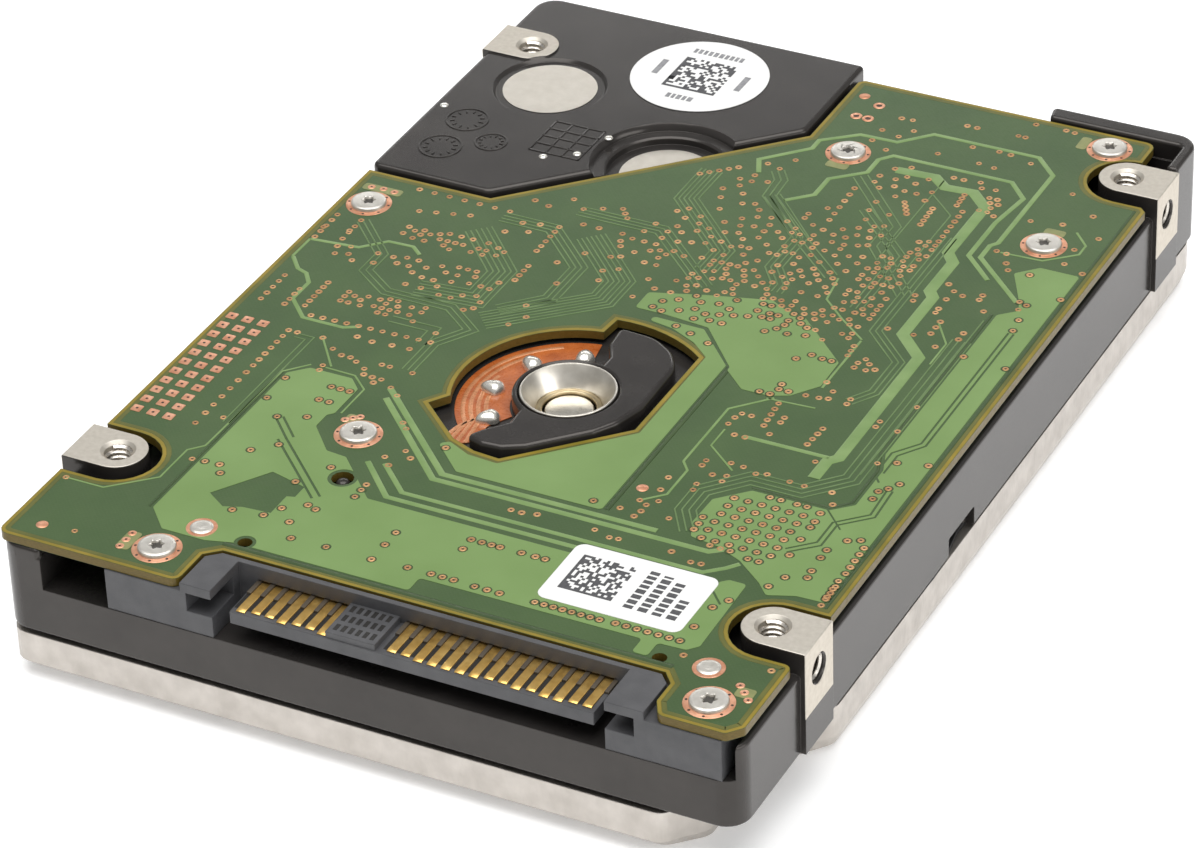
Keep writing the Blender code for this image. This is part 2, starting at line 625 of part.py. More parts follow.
def make_fixed_drive_parts():
    shaft = [(1.1, 1.25), (2.0, 1.25), (2.0, 13.33), (0, 13.33), (0, 3.6), (1.1, 3.6)]
    lathe("pivot_shaft", PIVOT, shaft, "turned_steel", 32)
    plate = sector(PIVOT, 10.0, 21.0, 87, 193.5, 14)
    posts = polar(PIVOT, 0, ((15.0, 91.0), (15.0, 189.5)))
    lower = prism("lower_yoke", plate, 1.3, 3.0, "nickel")
    for i, spot in enumerate(posts):
        join(lower, disc(f"add_yoke_post_{i}", spot, 0.7, 2.5, 9.86, steps=12))
    prism("upper_yoke", plate, 9.9, 12.2, "nickel")
    magnet = sector(PIVOT, 11.0, 20.5, 105, 175, 12)
    prism("lower_magnet", magnet, 3.02, 4.9, "nickel")
    prism("upper_magnet", magnet, 7.9, 9.88, "nickel")
    tube("crash_stop", posts[1], 0.85, 1.2, 5.2, 7.6, "rubber", 12)
    comb = prism("load_ramp", along(PIVOT, ARM_REST, box(37.2, 40.0, -1.6, 1.6)), 1.4, 9.9, "ramp_plastic")
    for i, middle in enumerate(DISK_MIDS):
        finger = along(PIVOT, ARM_REST, box(35.4, 37.6, -0.8, 0.8))
        join(comb, prism(f"add_ramp_finger_{i}", finger, middle - 0.46, middle + 0.46))
    prism("flex_bracket", rounded([(3.6, 38.6, 0.6), (13.0, 38.6, 0.6), (13.0, 45.0, 0.6), (3.6, 45.0, 0.6)], 2),
          3.0, 10.0, "ramp_plastic")
    path = [(3.3, 41.6), (1.2, 41.5), (-0.8, 40.6), (-2.4, 38.9), (-3.4, 36.7), (-4.0, 34.2), (-4.6, 31.7)]
    prism("actuator_flex", ribbon(path, 0.25), 3.6, 8.6, "polyimide")
    lever = along(LATCH, 108, [(-1.3, -1.2), (1.0, -1.2), (5.2, -0.6), (6.6, -0.9), (6.9, 0.2), (5.2, 0.7),
                               (1.0, 1.2), (-1.3, 1.2)])
    latch = prism("latch_lever", lever, 5.4, 7.4, "ramp_plastic", LATCH)
    join(latch, disc("add_latch_pin", LATCH, 0.7, 1.3, 9.95, steps=12))


clear_scene()
make_base_casting()
make_cover()
make_board()
make_connector()
make_labels_and_seals()
make_spindle()
make_actuator()
make_fixed_drive_parts()
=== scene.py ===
import json
import math
import random

import bmesh
import bpy
from mathutils import Matrix, Vector

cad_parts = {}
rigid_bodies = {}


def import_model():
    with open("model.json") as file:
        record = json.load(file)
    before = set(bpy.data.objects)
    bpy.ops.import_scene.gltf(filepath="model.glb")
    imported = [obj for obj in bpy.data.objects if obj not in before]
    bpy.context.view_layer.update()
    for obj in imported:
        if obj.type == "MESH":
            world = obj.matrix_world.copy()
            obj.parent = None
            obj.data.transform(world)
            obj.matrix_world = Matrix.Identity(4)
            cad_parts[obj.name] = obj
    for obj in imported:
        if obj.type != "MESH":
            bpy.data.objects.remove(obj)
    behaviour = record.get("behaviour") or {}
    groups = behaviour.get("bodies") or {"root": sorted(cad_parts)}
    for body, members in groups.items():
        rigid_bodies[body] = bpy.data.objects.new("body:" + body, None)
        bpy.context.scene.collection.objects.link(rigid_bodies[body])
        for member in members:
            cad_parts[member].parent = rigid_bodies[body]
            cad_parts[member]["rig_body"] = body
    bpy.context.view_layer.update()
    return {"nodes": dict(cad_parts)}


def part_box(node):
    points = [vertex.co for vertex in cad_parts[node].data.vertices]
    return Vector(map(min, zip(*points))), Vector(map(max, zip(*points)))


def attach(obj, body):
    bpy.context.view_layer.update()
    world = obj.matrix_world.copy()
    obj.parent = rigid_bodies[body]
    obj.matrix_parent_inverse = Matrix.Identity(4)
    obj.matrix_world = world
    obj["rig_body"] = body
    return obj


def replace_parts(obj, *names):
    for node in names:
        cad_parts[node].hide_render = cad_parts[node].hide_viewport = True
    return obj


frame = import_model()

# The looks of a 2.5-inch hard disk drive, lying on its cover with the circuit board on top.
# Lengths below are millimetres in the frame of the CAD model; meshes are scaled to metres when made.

MM = 0.001
NODES = frame["nodes"]


def span(node):
    """Lowest and highest corner of a CAD node, in millimetres."""
    low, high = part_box(node)
    return low / MM, high / MM


def centre_of(node):
    """X and Y of the middle of a CAD node, in millimetres."""
    low, high = span(node)
    return tuple(((low + high) / 2)[:2])


BOARD_TOP = span("circuit_board")[1].z
PLATE_TOP = 14.8
PAD_TOP = span("base_casting")[1].z
SPINDLE = centre_of("spindle_shaft")
PIVOT = centre_of("pivot_shaft")
BOARD_SCREWS = [centre_of(f"board_screw_{i}") for i in range(1, 8)]
BOSS_X, BOSS_Y = 30.86, (-36.1, 40.5)
SIDE_HOLE_Z = 12.0
CONTACT_PITCH = 1.27
CORNER_SCREWS = [centre_of(f"cover_screw_{i}") for i in range(1, 5)]

# ---- materials --------------------------------------------------------------------------------------


class Look:
    """A Principled material with helpers for its node tree. Texture scales are per millimetre."""

    def __init__(self, name, metallic=0.0, roughness=0.4, **constants):
        self.material = bpy.data.materials.new(name)
        self.material.use_nodes = True
        self.tree = self.material.node_tree
        self.shader = self.tree.nodes["Principled BSDF"]
        self.set(self.shader, "Metallic", metallic)
        self.set(self.shader, "Roughness", roughness)
        for socket, value in constants.items():
            self.set(self.shader, socket.replace("_", " "), value)
        coords = self.node("ShaderNodeTexCoord")
        self.where = self.node("ShaderNodeVectorMath", operation="SCALE", Vector=coords.outputs["Object"],
                               Scale=1 / MM).outputs[0]
        split = self.node("ShaderNodeSeparateXYZ", Vector=self.where)
        self.x, self.y, self.z = split.outputs

    def set(self, node, socket, value):
        target = node.inputs[socket]
        if isinstance(value, bpy.types.NodeSocket):
            self.tree.links.new(value, target)
        elif isinstance(value, tuple) and len(value) == 3 and target.type == "RGBA":
            target.default_value = (*value, 1.0)
        else:
            target.default_value = value

    def node(self, kind, **settings):
        made = self.tree.nodes.new(kind)
        sockets = {}
        for key, value in settings.items():
            if hasattr(made, key) and key not in made.inputs:
                setattr(made, key, value)
            else:
                sockets[key] = value
        for key, value in sockets.items():
            self.set(made, int(key[1:]) if key[0] == "i" and key[1:].isdigit() else key, value)
        return made

    def math(self, operation, *values):
        inputs = {f"i{k}": value for k, value in enumerate(values)}
        return self.node("ShaderNodeMath", operation=operation, **inputs).outputs[0]

    def noise(self, scale, detail=2.0, stretch=None):
        where = self.where
        if stretch:
            where = self.node("ShaderNodeVectorMath", operation="MULTIPLY", i0=where, i1=stretch).outputs[0]
        return self.node("ShaderNodeTexNoise", Vector=where, Scale=scale, Detail=detail).outputs["Fac"]

    def ramp(self, value, low, high, out_low=0.0, out_high=1.0):
        made = self.node("ShaderNodeMapRange", Value=value)
        for socket, number in (("From Min", low), ("From Max", high), ("To Min", out_low), ("To Max", out_high)):
            made.inputs[socket].default_value = number
        return made.outputs[0]

    def mix(self, factor, first, second):
        made = self.node("ShaderNodeMix", data_type="RGBA")
        self.set(made, 0, factor)
        self.set(made, 6, first)
        self.set(made, 7, second)
        return made.outputs[2]

    def radius(self, centre):
        """Distance from an upright axis."""
        moved = self.node("ShaderNodeVectorMath", operation="SUBTRACT", i0=self.where, i1=(*centre, 0.0)).outputs[0]
        flat = self.node("ShaderNodeVectorMath", operation="MULTIPLY", i0=moved, i1=(1.0, 1.0, 0.0)).outputs[0]
        return self.node("ShaderNodeVectorMath", operation="LENGTH", i0=flat).outputs["Value"]

    def colour(self, value):
        self.set(self.shader, "Base Color", value)

    def roughness(self, value):
        self.set(self.shader, "Roughness", value)

    def bump(self, height, strength, distance=0.05, edge=0.0):
        """Bump from a height, over edges rounded by edge millimetres."""
        made = self.node("ShaderNodeBump", Height=height, Strength=strength, Distance=distance * MM)
        if edge:
            self.set(made, "Normal", self.node("ShaderNodeBevel", samples=6, Radius=edge * MM).outputs[0])
        self.set(self.shader, "Normal", made.outputs[0])


def plain(name, dark, light, metallic=0.0, roughness=(0.35, 0.5), scale=0.8, grain=8.0, bump=0.15, edge=0.1,
          stretch=None, **constants):
    """A finish with slow colour and roughness variation and a fine grain."""
    look = Look(name, metallic, roughness[0], **constants)
    cloud = look.noise(scale, 3.0)
    look.colour(look.mix(look.ramp(cloud, 0.3, 0.7), dark, light))
    fine = look.noise(grain, 2.0, stretch)
    look.roughness(look.ramp(fine, 0.3, 0.7, *roughness))
    look.bump(fine, bump, 0.02, edge)
    return look


def casting_look():
    """Black electrocoat on the casting, bare where the mounting pads are machined."""
    look = Look("black_coated_casting", 0.0, 0.3, Specular_Tint=(1.0, 0.94, 0.88))
    top = look.math("GREATER_THAN", look.z, PAD_TOP - 0.03)
    side = look.math("MULTIPLY", look.math("GREATER_THAN", look.math("ABSOLUTE", look.x), 34.87),
                     look.math("GREATER_THAN", look.z, 8.6))
    outside = look.math("GREATER_THAN", look.math("ABSOLUTE", look.x), 27.0)
    bare = look.math("MAXIMUM", look.math("MULTIPLY", top, outside), side)
    for sx in (-1, 1):
        for y in BOSS_Y:
            near = look.math("LESS_THAN", look.radius((sx * BOSS_X, y)), 2.0)
            high = look.math("GREATER_THAN", look.z, 10.8)
            bare = look.math("MAXIMUM", bare, look.math("MULTIPLY", near, high))
    cloud = look.noise(0.25, 3.0)
    grain = look.noise(5.0, 4.0)
    coat = look.mix(look.ramp(cloud, 0.3, 0.7), (0.022, 0.020, 0.019), (0.033, 0.030, 0.028))
    mill = look.noise(2.2, 4.0)
    metal = look.mix(look.ramp(mill, 0.3, 0.7), (0.58, 0.54, 0.47), (0.66, 0.62, 0.55))
    look.colour(look.mix(bare, coat, metal))
    look.set(look.shader, "Metallic", look.ramp(bare, 0.0, 1.0, 0.0, 0.85))
    coat_roughness = look.ramp(grain, 0.3, 0.7, 0.17, 0.25)
    look.roughness(look.math("MAXIMUM", coat_roughness, look.ramp(bare, 0.0, 1.0, 0.0, 0.48)))
    look.bump(grain, 0.05, 0.05, 0.1)
    return look


def board_look():
    """Green solder mask over a woven laminate, whose cut edge is yellow-brown."""
    look = Look("green_solder_mask", 0.0, 0.36, Specular_IOR_Level=0.22, Coat_Weight=0.15, Coat_Roughness=0.2)
    face = look.math("GREATER_THAN", look.z, BOARD_TOP - 0.02)
    under = look.math("LESS_THAN", look.z, span("circuit_board")[0].z + 0.02)
    weave = look.math("MULTIPLY", look.math("SINE", look.math("MULTIPLY", look.x, 14.0)),
                      look.math("SINE", look.math("MULTIPLY", look.y, 14.0)))
    cloud = look.noise(0.12, 4.0)
    patches = look.node("ShaderNodeTexVoronoi", Vector=look.where, Scale=0.32).outputs["Color"]
    green = look.mix(look.ramp(cloud, 0.35, 0.65), (0.043, 0.082, 0.027), (0.056, 0.101, 0.033))
    green = look.mix(look.ramp(patches, 0.0, 1.0, 0.0, 0.3), green, (0.064, 0.098, 0.040))
    green = look.mix(look.ramp(weave, -1.0, 1.0, 0.0, 0.12), green, (0.10, 0.16, 0.06))
    fibres = look.noise(3.0, 4.0, (1.0, 1.0, 12.0))
    laminate = look.mix(look.ramp(fibres, 0.3, 0.7), (0.085, 0.060, 0.010), (0.17, 0.118, 0.022))
    look.colour(look.mix(look.math("MAXIMUM", face, under), laminate, green))
    grain = look.noise(2.5, 3.0)
    look.roughness(look.ramp(grain, 0.3, 0.7, 0.3, 0.44))
    look.bump(look.math("ADD", grain, look.math("MULTIPLY", weave, 0.15)), 0.10, 0.05, 0.05)
    return look


def turned_look(name, centre, dark, light, roughness, pitch=9.0, metallic=1.0, edge=0.06):
    """Metal turned on a lathe: fine rings about its axis and a slow change round them."""
    look = Look(name, metallic, roughness[0])
    rings = look.math("SINE", look.math("MULTIPLY", look.radius(centre), 2 * math.pi * pitch))
    wobble = look.noise(0.9, 3.0)
    look.colour(look.mix(look.ramp(wobble, 0.3, 0.7), dark, light))
    look.roughness(look.ramp(look.math("ADD", rings, look.math("MULTIPLY", wobble, 2.0)), -1.0, 3.0, *roughness))
    look.bump(rings, 0.06, 0.004, edge)
    return look


def foil_look():
    look = Look("aluminium_foil", 0.75, 0.4)
    folds = look.noise(0.9, 5.0)
    look.colour(look.mix(look.ramp(folds, 0.35, 0.65), (0.63, 0.59, 0.52), (0.68, 0.64, 0.57)))
    look.roughness(look.ramp(look.noise(5.0), 0.3, 0.7, 0.42, 0.50))
    look.bump(folds, 0.08, 0.1)
    return look


casting = casting_look()
board = board_look()
pour = plain("solder_mask_over_copper", (0.152, 0.246, 0.076), (0.180, 0.284, 0.095), 0.0, (0.30, 0.42), 0.1, 3.0,
             0.08, 0.04, Specular_IOR_Level=0.25, Coat_Weight=0.15, Coat_Roughness=0.2)
trace = plain("solder_mask_over_trace", (0.150, 0.245, 0.080), (0.200, 0.300, 0.110), 0.0, (0.30, 0.42), 0.4, 4.0,
              0.1, 0.03, Specular_IOR_Level=0.25, Coat_Weight=0.15, Coat_Roughness=0.2)
fine_trace = plain("solder_mask_over_fine_trace", (0.100, 0.165, 0.060), (0.142, 0.220, 0.086), 0.0, (0.30, 0.42), 0.4,
                   4.0, 0.1, 0.03, Specular_IOR_Level=0.25, Coat_Weight=0.15, Coat_Roughness=0.2)
groove = plain("solder_mask_in_gap", (0.036, 0.064, 0.022), (0.052, 0.086, 0.030), 0.0, (0.34, 0.46), 0.3, 4.0, 0.1,
               Specular_IOR_Level=0.25)
margin = plain("solder_mask_margin", (0.090, 0.100, 0.024), (0.130, 0.130, 0.030), 0.0, (0.32, 0.44), 0.3, 4.0, 0.1,
               Specular_IOR_Level=0.25)
bright_margin = plain("laminate_margin", (0.190, 0.150, 0.016), (0.280, 0.205, 0.028), 0.0, (0.32, 0.44), 0.3, 4.0,
                      0.1, Specular_IOR_Level=0.25)
copper = plain("bare_copper", (0.62, 0.27, 0.15), (0.84, 0.45, 0.29), 0.7, (0.30, 0.46), 1.2, 9.0, 0.2, 0.03)
via_metal = plain("via_copper", (0.36, 0.185, 0.068), (0.60, 0.34, 0.15), 0.35, (0.32, 0.48), 0.5, 9.0, 0.2, 0.02)
# Painted shade: dark discs that stand in for the shade inside the drilled holes of vias, pads and lands.
via_hole_shade = plain("via_hole_painted_shade", (0.040, 0.018, 0.010), (0.075, 0.035, 0.018), 0.0, (0.4, 0.6), 1.0, 9.0, 0.1)
tab = plain("tinned_tab", (0.19, 0.21, 0.075), (0.27, 0.27, 0.105), 0.1, (0.34, 0.5), 0.8, 6.0, 0.2, 0.03)
steel = plain("screw_steel_brushed", (0.66, 0.63, 0.57), (0.78, 0.75, 0.69), 0.8, (0.30, 0.42), 1.0, 5.0, 0.12, 0.06)
silver = plain("cover_aluminium", (0.48, 0.445, 0.405), (0.60, 0.56, 0.515), 0.85, (0.30, 0.44), 0.5, 4.0, 0.16, 0.15,
               (1.0, 1.0, 0.25))
thread_metal = plain("cut_thread_metal", (0.60, 0.56, 0.50), (0.76, 0.72, 0.66), 1.0, (0.24, 0.36), 1.0, 5.0, 0.1,
                     0.03)
# Painted shade: near-black steel for flat discs set near the bottom of each screw recess, standing in for the shade
# there.
recess_painted_shade = plain("recess_painted_shade_steel", (0.050, 0.046, 0.040), (0.090, 0.082, 0.072), 0.3, (0.4, 0.6), 1.0, 7.0,
                     0.1)
solder = plain("solder_blob", (0.80, 0.77, 0.69), (0.92, 0.90, 0.84), 0.8, (0.20, 0.32), 1.2, 3.0, 0.25, 0.05)
gold = plain("gold_plating", (0.70, 0.42, 0.11), (0.90, 0.60, 0.20), 0.9, (0.30, 0.40), 0.9, 3.0, 0.05, 0.04)
plastic = plain("connector_plastic_grain", (0.060, 0.060, 0.064), (0.082, 0.082, 0.086), 0.0, (0.36, 0.52), 0.5, 9.0,
                0.2, 0.12)
# Painted shade: near-black plastic for the strips between the contacts and the slots in the bridge, where shade falls.
gap_painted_shade = plain("gap_painted_shade_plastic", (0.008, 0.007, 0.006), (0.014, 0.012, 0.010), 0.0, (0.5, 0.7), 0.8, 9.0, 0.05)
# Painted shade: brown-grey plastic for the ribs behind the contacts, whose colour stands in for the shade there.
rib_painted_shade = plain("brown_painted_shade_plastic", (0.060, 0.048, 0.034), (0.085, 0.068, 0.048), 0.0, (0.4, 0.55), 0.8, 9.0,
                      0.2, 0.05)
film = plain("polyimide_film", (0.33, 0.075, 0.014), (0.50, 0.135, 0.030), 0.0, (0.22, 0.36), 0.7, 3.0, 0.06, 0.03,
             Coat_Weight=0.3, Coat_Roughness=0.15)
strip = plain("film_over_copper", (0.50, 0.20, 0.085), (0.68, 0.31, 0.15), 0.3, (0.22, 0.36), 0.7, 3.0, 0.05, 0.03)
paper = plain("label_paper", (0.76, 0.76, 0.75), (0.82, 0.82, 0.80), 0.0, (0.45, 0.6), 0.4, 14.0, 0.06)
ink = plain("label_ink", (0.050, 0.050, 0.054), (0.085, 0.085, 0.09), 0.0, (0.5, 0.65), 2.0, 14.0, 0.05)
grey_ink = plain("label_grey_ink", (0.20, 0.20, 0.21), (0.30, 0.30, 0.31), 0.0, (0.5, 0.65), 2.0, 14.0, 0.05)
rubber = plain("seal_rubber", (0.010, 0.010, 0.010), (0.018, 0.018, 0.018), 0.0, (0.6, 0.8), 0.8, 9.0, 0.3)
shaft_metal = turned_look("ground_shaft", SPINDLE, (0.66, 0.62, 0.54), (0.80, 0.77, 0.70), (0.24, 0.36))
cup_metal = turned_look("turned_cup", SPINDLE, (0.70, 0.66, 0.58), (0.84, 0.80, 0.72), (0.28, 0.40), 12.0)
ledge_metal = turned_look("bronze_ledge", SPINDLE, (0.45, 0.36, 0.22), (0.62, 0.52, 0.34), (0.26, 0.4), 10.0)
foil = foil_look()

PALETTE = {
    "coated_casting": casting,
    "bare_aluminium": silver,
    "rubber": rubber,
    "screw_steel": steel,
    "solder_mask": board,
    "insulator_film": plain("black_film", (0.02, 0.02, 0.02), (0.03, 0.03, 0.03), 0.0, (0.4, 0.6)),
    "connector_plastic": plastic,
    "gold": gold,
    "chip_plastic": plain("moulded_chip", (0.016, 0.016, 0.018), (0.026, 0.026, 0.028), 0.0, (0.45, 0.6)),
    "polyimide": film,
    "turned_steel": plain("turned_steel_sleeve", (0.66, 0.64, 0.60), (0.78, 0.76, 0.72), 1.0, (0.2, 0.32)),
    "tin": solder,
    "steel_laminate": plain("stacked_laminations", (0.28, 0.27, 0.26), (0.38, 0.37, 0.36), 0.9, (0.36, 0.5), 0.6, 6.0,
                            0.3, 0.05, (0.2, 0.2, 6.0)),
    "nickel": plain("nickel_plating", (0.62, 0.61, 0.59), (0.74, 0.73, 0.71), 1.0, (0.18, 0.3)),
    "ramp_plastic": plain("ramp_moulding", (0.64, 0.58, 0.45), (0.74, 0.68, 0.55), 0.0, (0.4, 0.55)),
    "foil": foil,
    "paper": paper,
    "platter": turned_look("polished_platter", SPINDLE, (0.58, 0.58, 0.59), (0.66, 0.66, 0.67), (0.04, 0.09), 3.0),
    "copper_wire": plain("enamelled_winding", (0.50, 0.20, 0.09), (0.68, 0.31, 0.15), 0.8, (0.28, 0.4), 1.0, 6.0, 0.4,
                         0.05, (1.0, 1.0, 5.0)),
}

for node in NODES.values():
    node.data.materials[0] = PALETTE[node.data.materials[0].name].material

# ---- mesh helpers -----------------------------------------------------------------------------------


def arc(centre, radius, start, end, steps):
    cx, cy = centre
    angles = [math.radians(start + (end - start) * i / steps) for i in range(steps + 1)]
    return [(cx + radius * math.cos(a), cy + radius * math.sin(a)) for a in angles]


def circle(centre, radius, steps=24):
    return arc(centre, radius, 0, 360, steps)[:-1]


def box(x0, x1, y0, y1):
    return [(x0, y0), (x1, y0), (x1, y1), (x0, y1)]


def rounded(corners, steps=4):
    """An outline from (x, y, fillet radius) corners."""
    outline = []
    for i, (x, y, radius) in enumerate(corners):
        before, after = corners[i - 1], corners[(i + 1) % len(corners)]
        u = Vector((before[0] - x, before[1] - y)).normalized()
        v = Vector((after[0] - x, after[1] - y)).normalized()
        half = math.acos(max(-1.0, min(1.0, u.dot(v)))) / 2
        if radius <= 0 or half > 1.56:
            outline.append((x, y))
            continue
        reach, depth = radius / math.tan(half), radius / math.sin(half)
        middle = (u + v).normalized() * depth
        cx, cy = x + middle.x, y + middle.y
        start = math.atan2(y + u.y * reach - cy, x + u.x * reach - cx)
        end = math.atan2(y + v.y * reach - cy, x + v.x * reach - cx)
        sweep = (end - start + math.pi) % (2 * math.pi) - math.pi
        angles = [start + sweep * k / steps for k in range(steps + 1)]
        outline += [(cx + radius * math.cos(a), cy + radius * math.sin(a)) for a in angles]
    return outline


def area(outline):
    return sum(a[0] * b[1] - b[0] * a[1] for a, b in zip(outline, outline[1:] + outline[:1])) / 2


def inset(outline, distance):
    """The outline moved inwards, with mitred corners."""
    sign = 1 if area(outline) > 0 else -1
    moved = []
    for i, (x, y) in enumerate(outline):
        before, after = outline[i - 1], outline[(i + 1) % len(outline)]
        u = Vector((x - before[0], y - before[1])).normalized()
        v = Vector((after[0] - x, after[1] - y)).normalized()
        normal = Vector((-(u.y + v.y), u.x + v.x))
        if normal.length < 1e-6:
            normal = Vector((-u.y, u.x))
        normal.normalize()
        scale = 1 / max(0.35, normal.dot(Vector((-u.y, u.x))))
        moved.append((x + sign * normal.x * distance * scale, y + sign * normal.y * distance * scale))
    return moved


class Shape:
    """Points and faces that gather into one object, in millimetres."""

    def __init__(self):
        self.points, self.faces = [], []

    def add(self, points, faces):
        first = len(self.points)
        self.points += points
        self.faces += [[first + i for i in face] for face in faces]

    def loft(self, sections, closed=True, caps=True):
        """Skin through rings of points with the same count."""
        count = len(sections[0])
        points = [p for ring in sections for p in ring]
        faces = []
        if caps:
            faces = [list(range(count))[::-1], [count * (len(sections) - 1) + i for i in range(count)]]
        for level in range(len(sections) - 1):
            for i in range(count if closed else count - 1):
                j = (i + 1) % count
                low, high = level * count, (level + 1) * count
                faces.append([low + i, low + j, high + j, high + i])
        self.add(points, faces)

    def prism(self, outline, z0, z1, fillet=0.0, foot=0.0):
        """An upright solid whose top edge is rounded by the fillet, and its lower edge by the foot."""
        turns = [math.radians(a) for a in (0, 22.5, 45, 67.5, 90)]
        levels = [(0.0, z0)]
        if foot:
            levels = [(foot * (1 - math.sin(a)), z0 + foot * (1 - math.cos(a))) for a in turns]
        if fillet:
            levels += [(fillet * (1 - math.cos(a)), z1 - fillet + fillet * math.sin(a)) for a in turns]
        else:
            levels += [(0.0, z1)]
        self.loft([[(x, y, z) for x, y in inset(outline, d)] for d, z in levels])

    def lathe(self, centre, profile, steps=32):
        """An open profile of (radius, height) pairs, from axis to axis or closed by the caller."""
        cx, cy = centre
        rows, points, faces = [], [], []
        for radius, height in profile:
            row = []
            for i in range(steps if radius > 0 else 1):
                a = 2 * math.pi * i / steps
                row.append(len(points))
                points.append((cx + radius * math.cos(a), cy + radius * math.sin(a), height))
            rows.append(row)
        for low, high in zip(rows, rows[1:]):
            for i in range(steps):
                j = (i + 1) % steps
                if len(low) > 1 and len(high) > 1:
                    faces.append([low[i], low[j], high[j], high[i]])
                elif len(low) > 1:
                    faces.append([low[i], low[j], high[0]])
                elif len(high) > 1:
                    faces.append([low[0], high[j], high[i]])
        self.add(points, faces)

    def ribbon(self, path, width, z0, height, bevel=0.25):
        """A raised strip along an open path, with sloping sides and square ends."""
        self.loft([[(x, y, z) for (x, y), z in zip(row, (z0, z0 + height, z0 + height, z0))] for row in
                   zip(offset(path, width / 2), offset(path, width / 2 * (1 - bevel)),
                       offset(path, -width / 2 * (1 - bevel)), offset(path, -width / 2))])

    def object(self, name, look, slot, body="chassis", smooth=35.0):
        mesh = bpy.data.meshes.new(name)
        mesh.from_pydata([(x * MM, y * MM, z * MM) for x, y, z in self.points], [], self.faces)
        work = bmesh.new()
        work.from_mesh(mesh)
        bmesh.ops.remove_doubles(work, verts=work.verts, dist=0.0004 * MM)
        bmesh.ops.recalc_face_normals(work, faces=work.faces)
        work.to_mesh(mesh)
        work.free()
        mesh.shade_smooth()
        mesh.set_sharp_from_angle(angle=math.radians(smooth))
        made = bpy.data.objects.new(name, mesh)
        bpy.context.scene.collection.objects.link(made)
        if look:
            weighted = made.modifiers.new("weighted_normals", "WEIGHTED_NORMAL")
            weighted.keep_sharp = True
            mesh.materials.append(look.material)
            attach(made, body)
        return made


def offset(path, distance):
    """A path moved to its left, with mitred corners."""
    moved = []
    for i, (x, y) in enumerate(path):
        u = Vector(path[i]) - Vector(path[i - 1]) if i else Vector(path[1]) - Vector(path[0])
        v = Vector(path[i + 1]) - Vector(path[i]) if i + 1 < len(path) else u
        u, v = u.normalized(), v.normalized()
        normal = Vector((-(u.y + v.y), u.x + v.x)).normalized()
        scale = distance / max(0.5, normal.dot(Vector((-u.y, u.x))))
        moved.append((x + normal.x * scale, y + normal.y * scale))
    return moved


def apply_boolean(target, operation, *others):
    """Booleans in order, made permanent. The cutters are removed."""
    for other in others:
        modifier = target.modifiers.new("boolean", "BOOLEAN")
        modifier.operation, modifier.solver, modifier.object = operation, "EXACT", other
    graph = bpy.context.evaluated_depsgraph_get()
    graph.update()
    mesh = bpy.data.meshes.new_from_object(target.evaluated_get(graph))
    for modifier in [m for m in target.modifiers if m.type == "BOOLEAN"]:
        target.modifiers.remove(modifier)
    old, name = target.data, target.data.name
    target.data = mesh
    bpy.data.meshes.remove(old)
    mesh.name = name
    for other in others:
        bpy.data.objects.remove(other)
    return target


def cutter(outline, z0, z1):
    shape = Shape()
    shape.prism(outline, z0, z1)
    return shape.object("cutter", None, None)


# ---- circuit board ----------------------------------------------------------------------------------

TOP = BOARD_TOP
POUR_H, TRACE_H = 0.025, 0.035

FRONT_POUR = [
    (-24.1, -19.0), (-22.6, -17.5), (-18.4, -17.5), (-17.1, -18.8), (-17.1, -22.9), (-17.6, -23.4), (-17.6, -25.3),
    (-14.9, -28.2), (-12.9, -28.4), (-8.2, -33.1), (22.6, -33.1), (24.6, -31.2), (26.2, -31.2), (26.4, -40.4),
    (25.6, -41.3), (23.1, -41.4), (23.1, -43.3), (21.7, -43.3), (21.7, -41.4), (1.3, -41.4), (1.3, -43.3),
    (-15.2, -43.3), (-17.7, -44.0), (-21.8, -44.0), (-24.1, -41.6),
]
MIDDLE_POUR = [
    (-1.0, 2.9), (-1.0, 5.6), (4.0, 7.3), (9.7, 8.9), (11.2, 8.0), (13.6, 7.4), (16.9, 4.3), (19.3, 2.0), (19.4, -2.0),
    (17.6, -4.4), (15.9, -5.2), (13.3, -5.2), (10.9, -3.0), (10.9, -2.5), (6.4, 2.5), (2.0, 2.9),
]
WINDOW_POUR = [
    (1.2, 2.2), (6.2, 2.1), (10.5, -2.4), (10.5, -26.5), (-3.3, -26.5), (-6.7, -23.3), (-5.9, -22.7), (-3.6, -23.8),
    (-0.7, -24.0), (8.3, -14.9), (8.3, -1.9), (6.3, -0.2), (3.6, 1.1), (1.2, 1.5),
]
RIGHT_POUR = [
    (27.5, 21.7), (29.3, 23.5), (33.1, 23.5), (33.1, -30.9), (30.5, -31.0), (28.2, -31.9), (27.0, -30.6),
    (24.2, -28.4), (21.7, -27.3), (19.0, -26.9), (18.2, -24.9), (18.3, -21.3), (20.8, -18.8), (27.9, -18.8),
    (29.6, -17.2), (29.6, -11.6), (28.8, -9.3), (28.8, 14.7), (30.3, 16.1), (29.6, 17.8),
]
HOUSE = [(-17.5, -32.9), (-13.9, -33.8), (-13.9, -35.4), (-14.6, -35.6), (-14.6, -38.3), (-17.2, -38.5),
         (-18.8, -39.1),
         (-20.8, -37.8)]
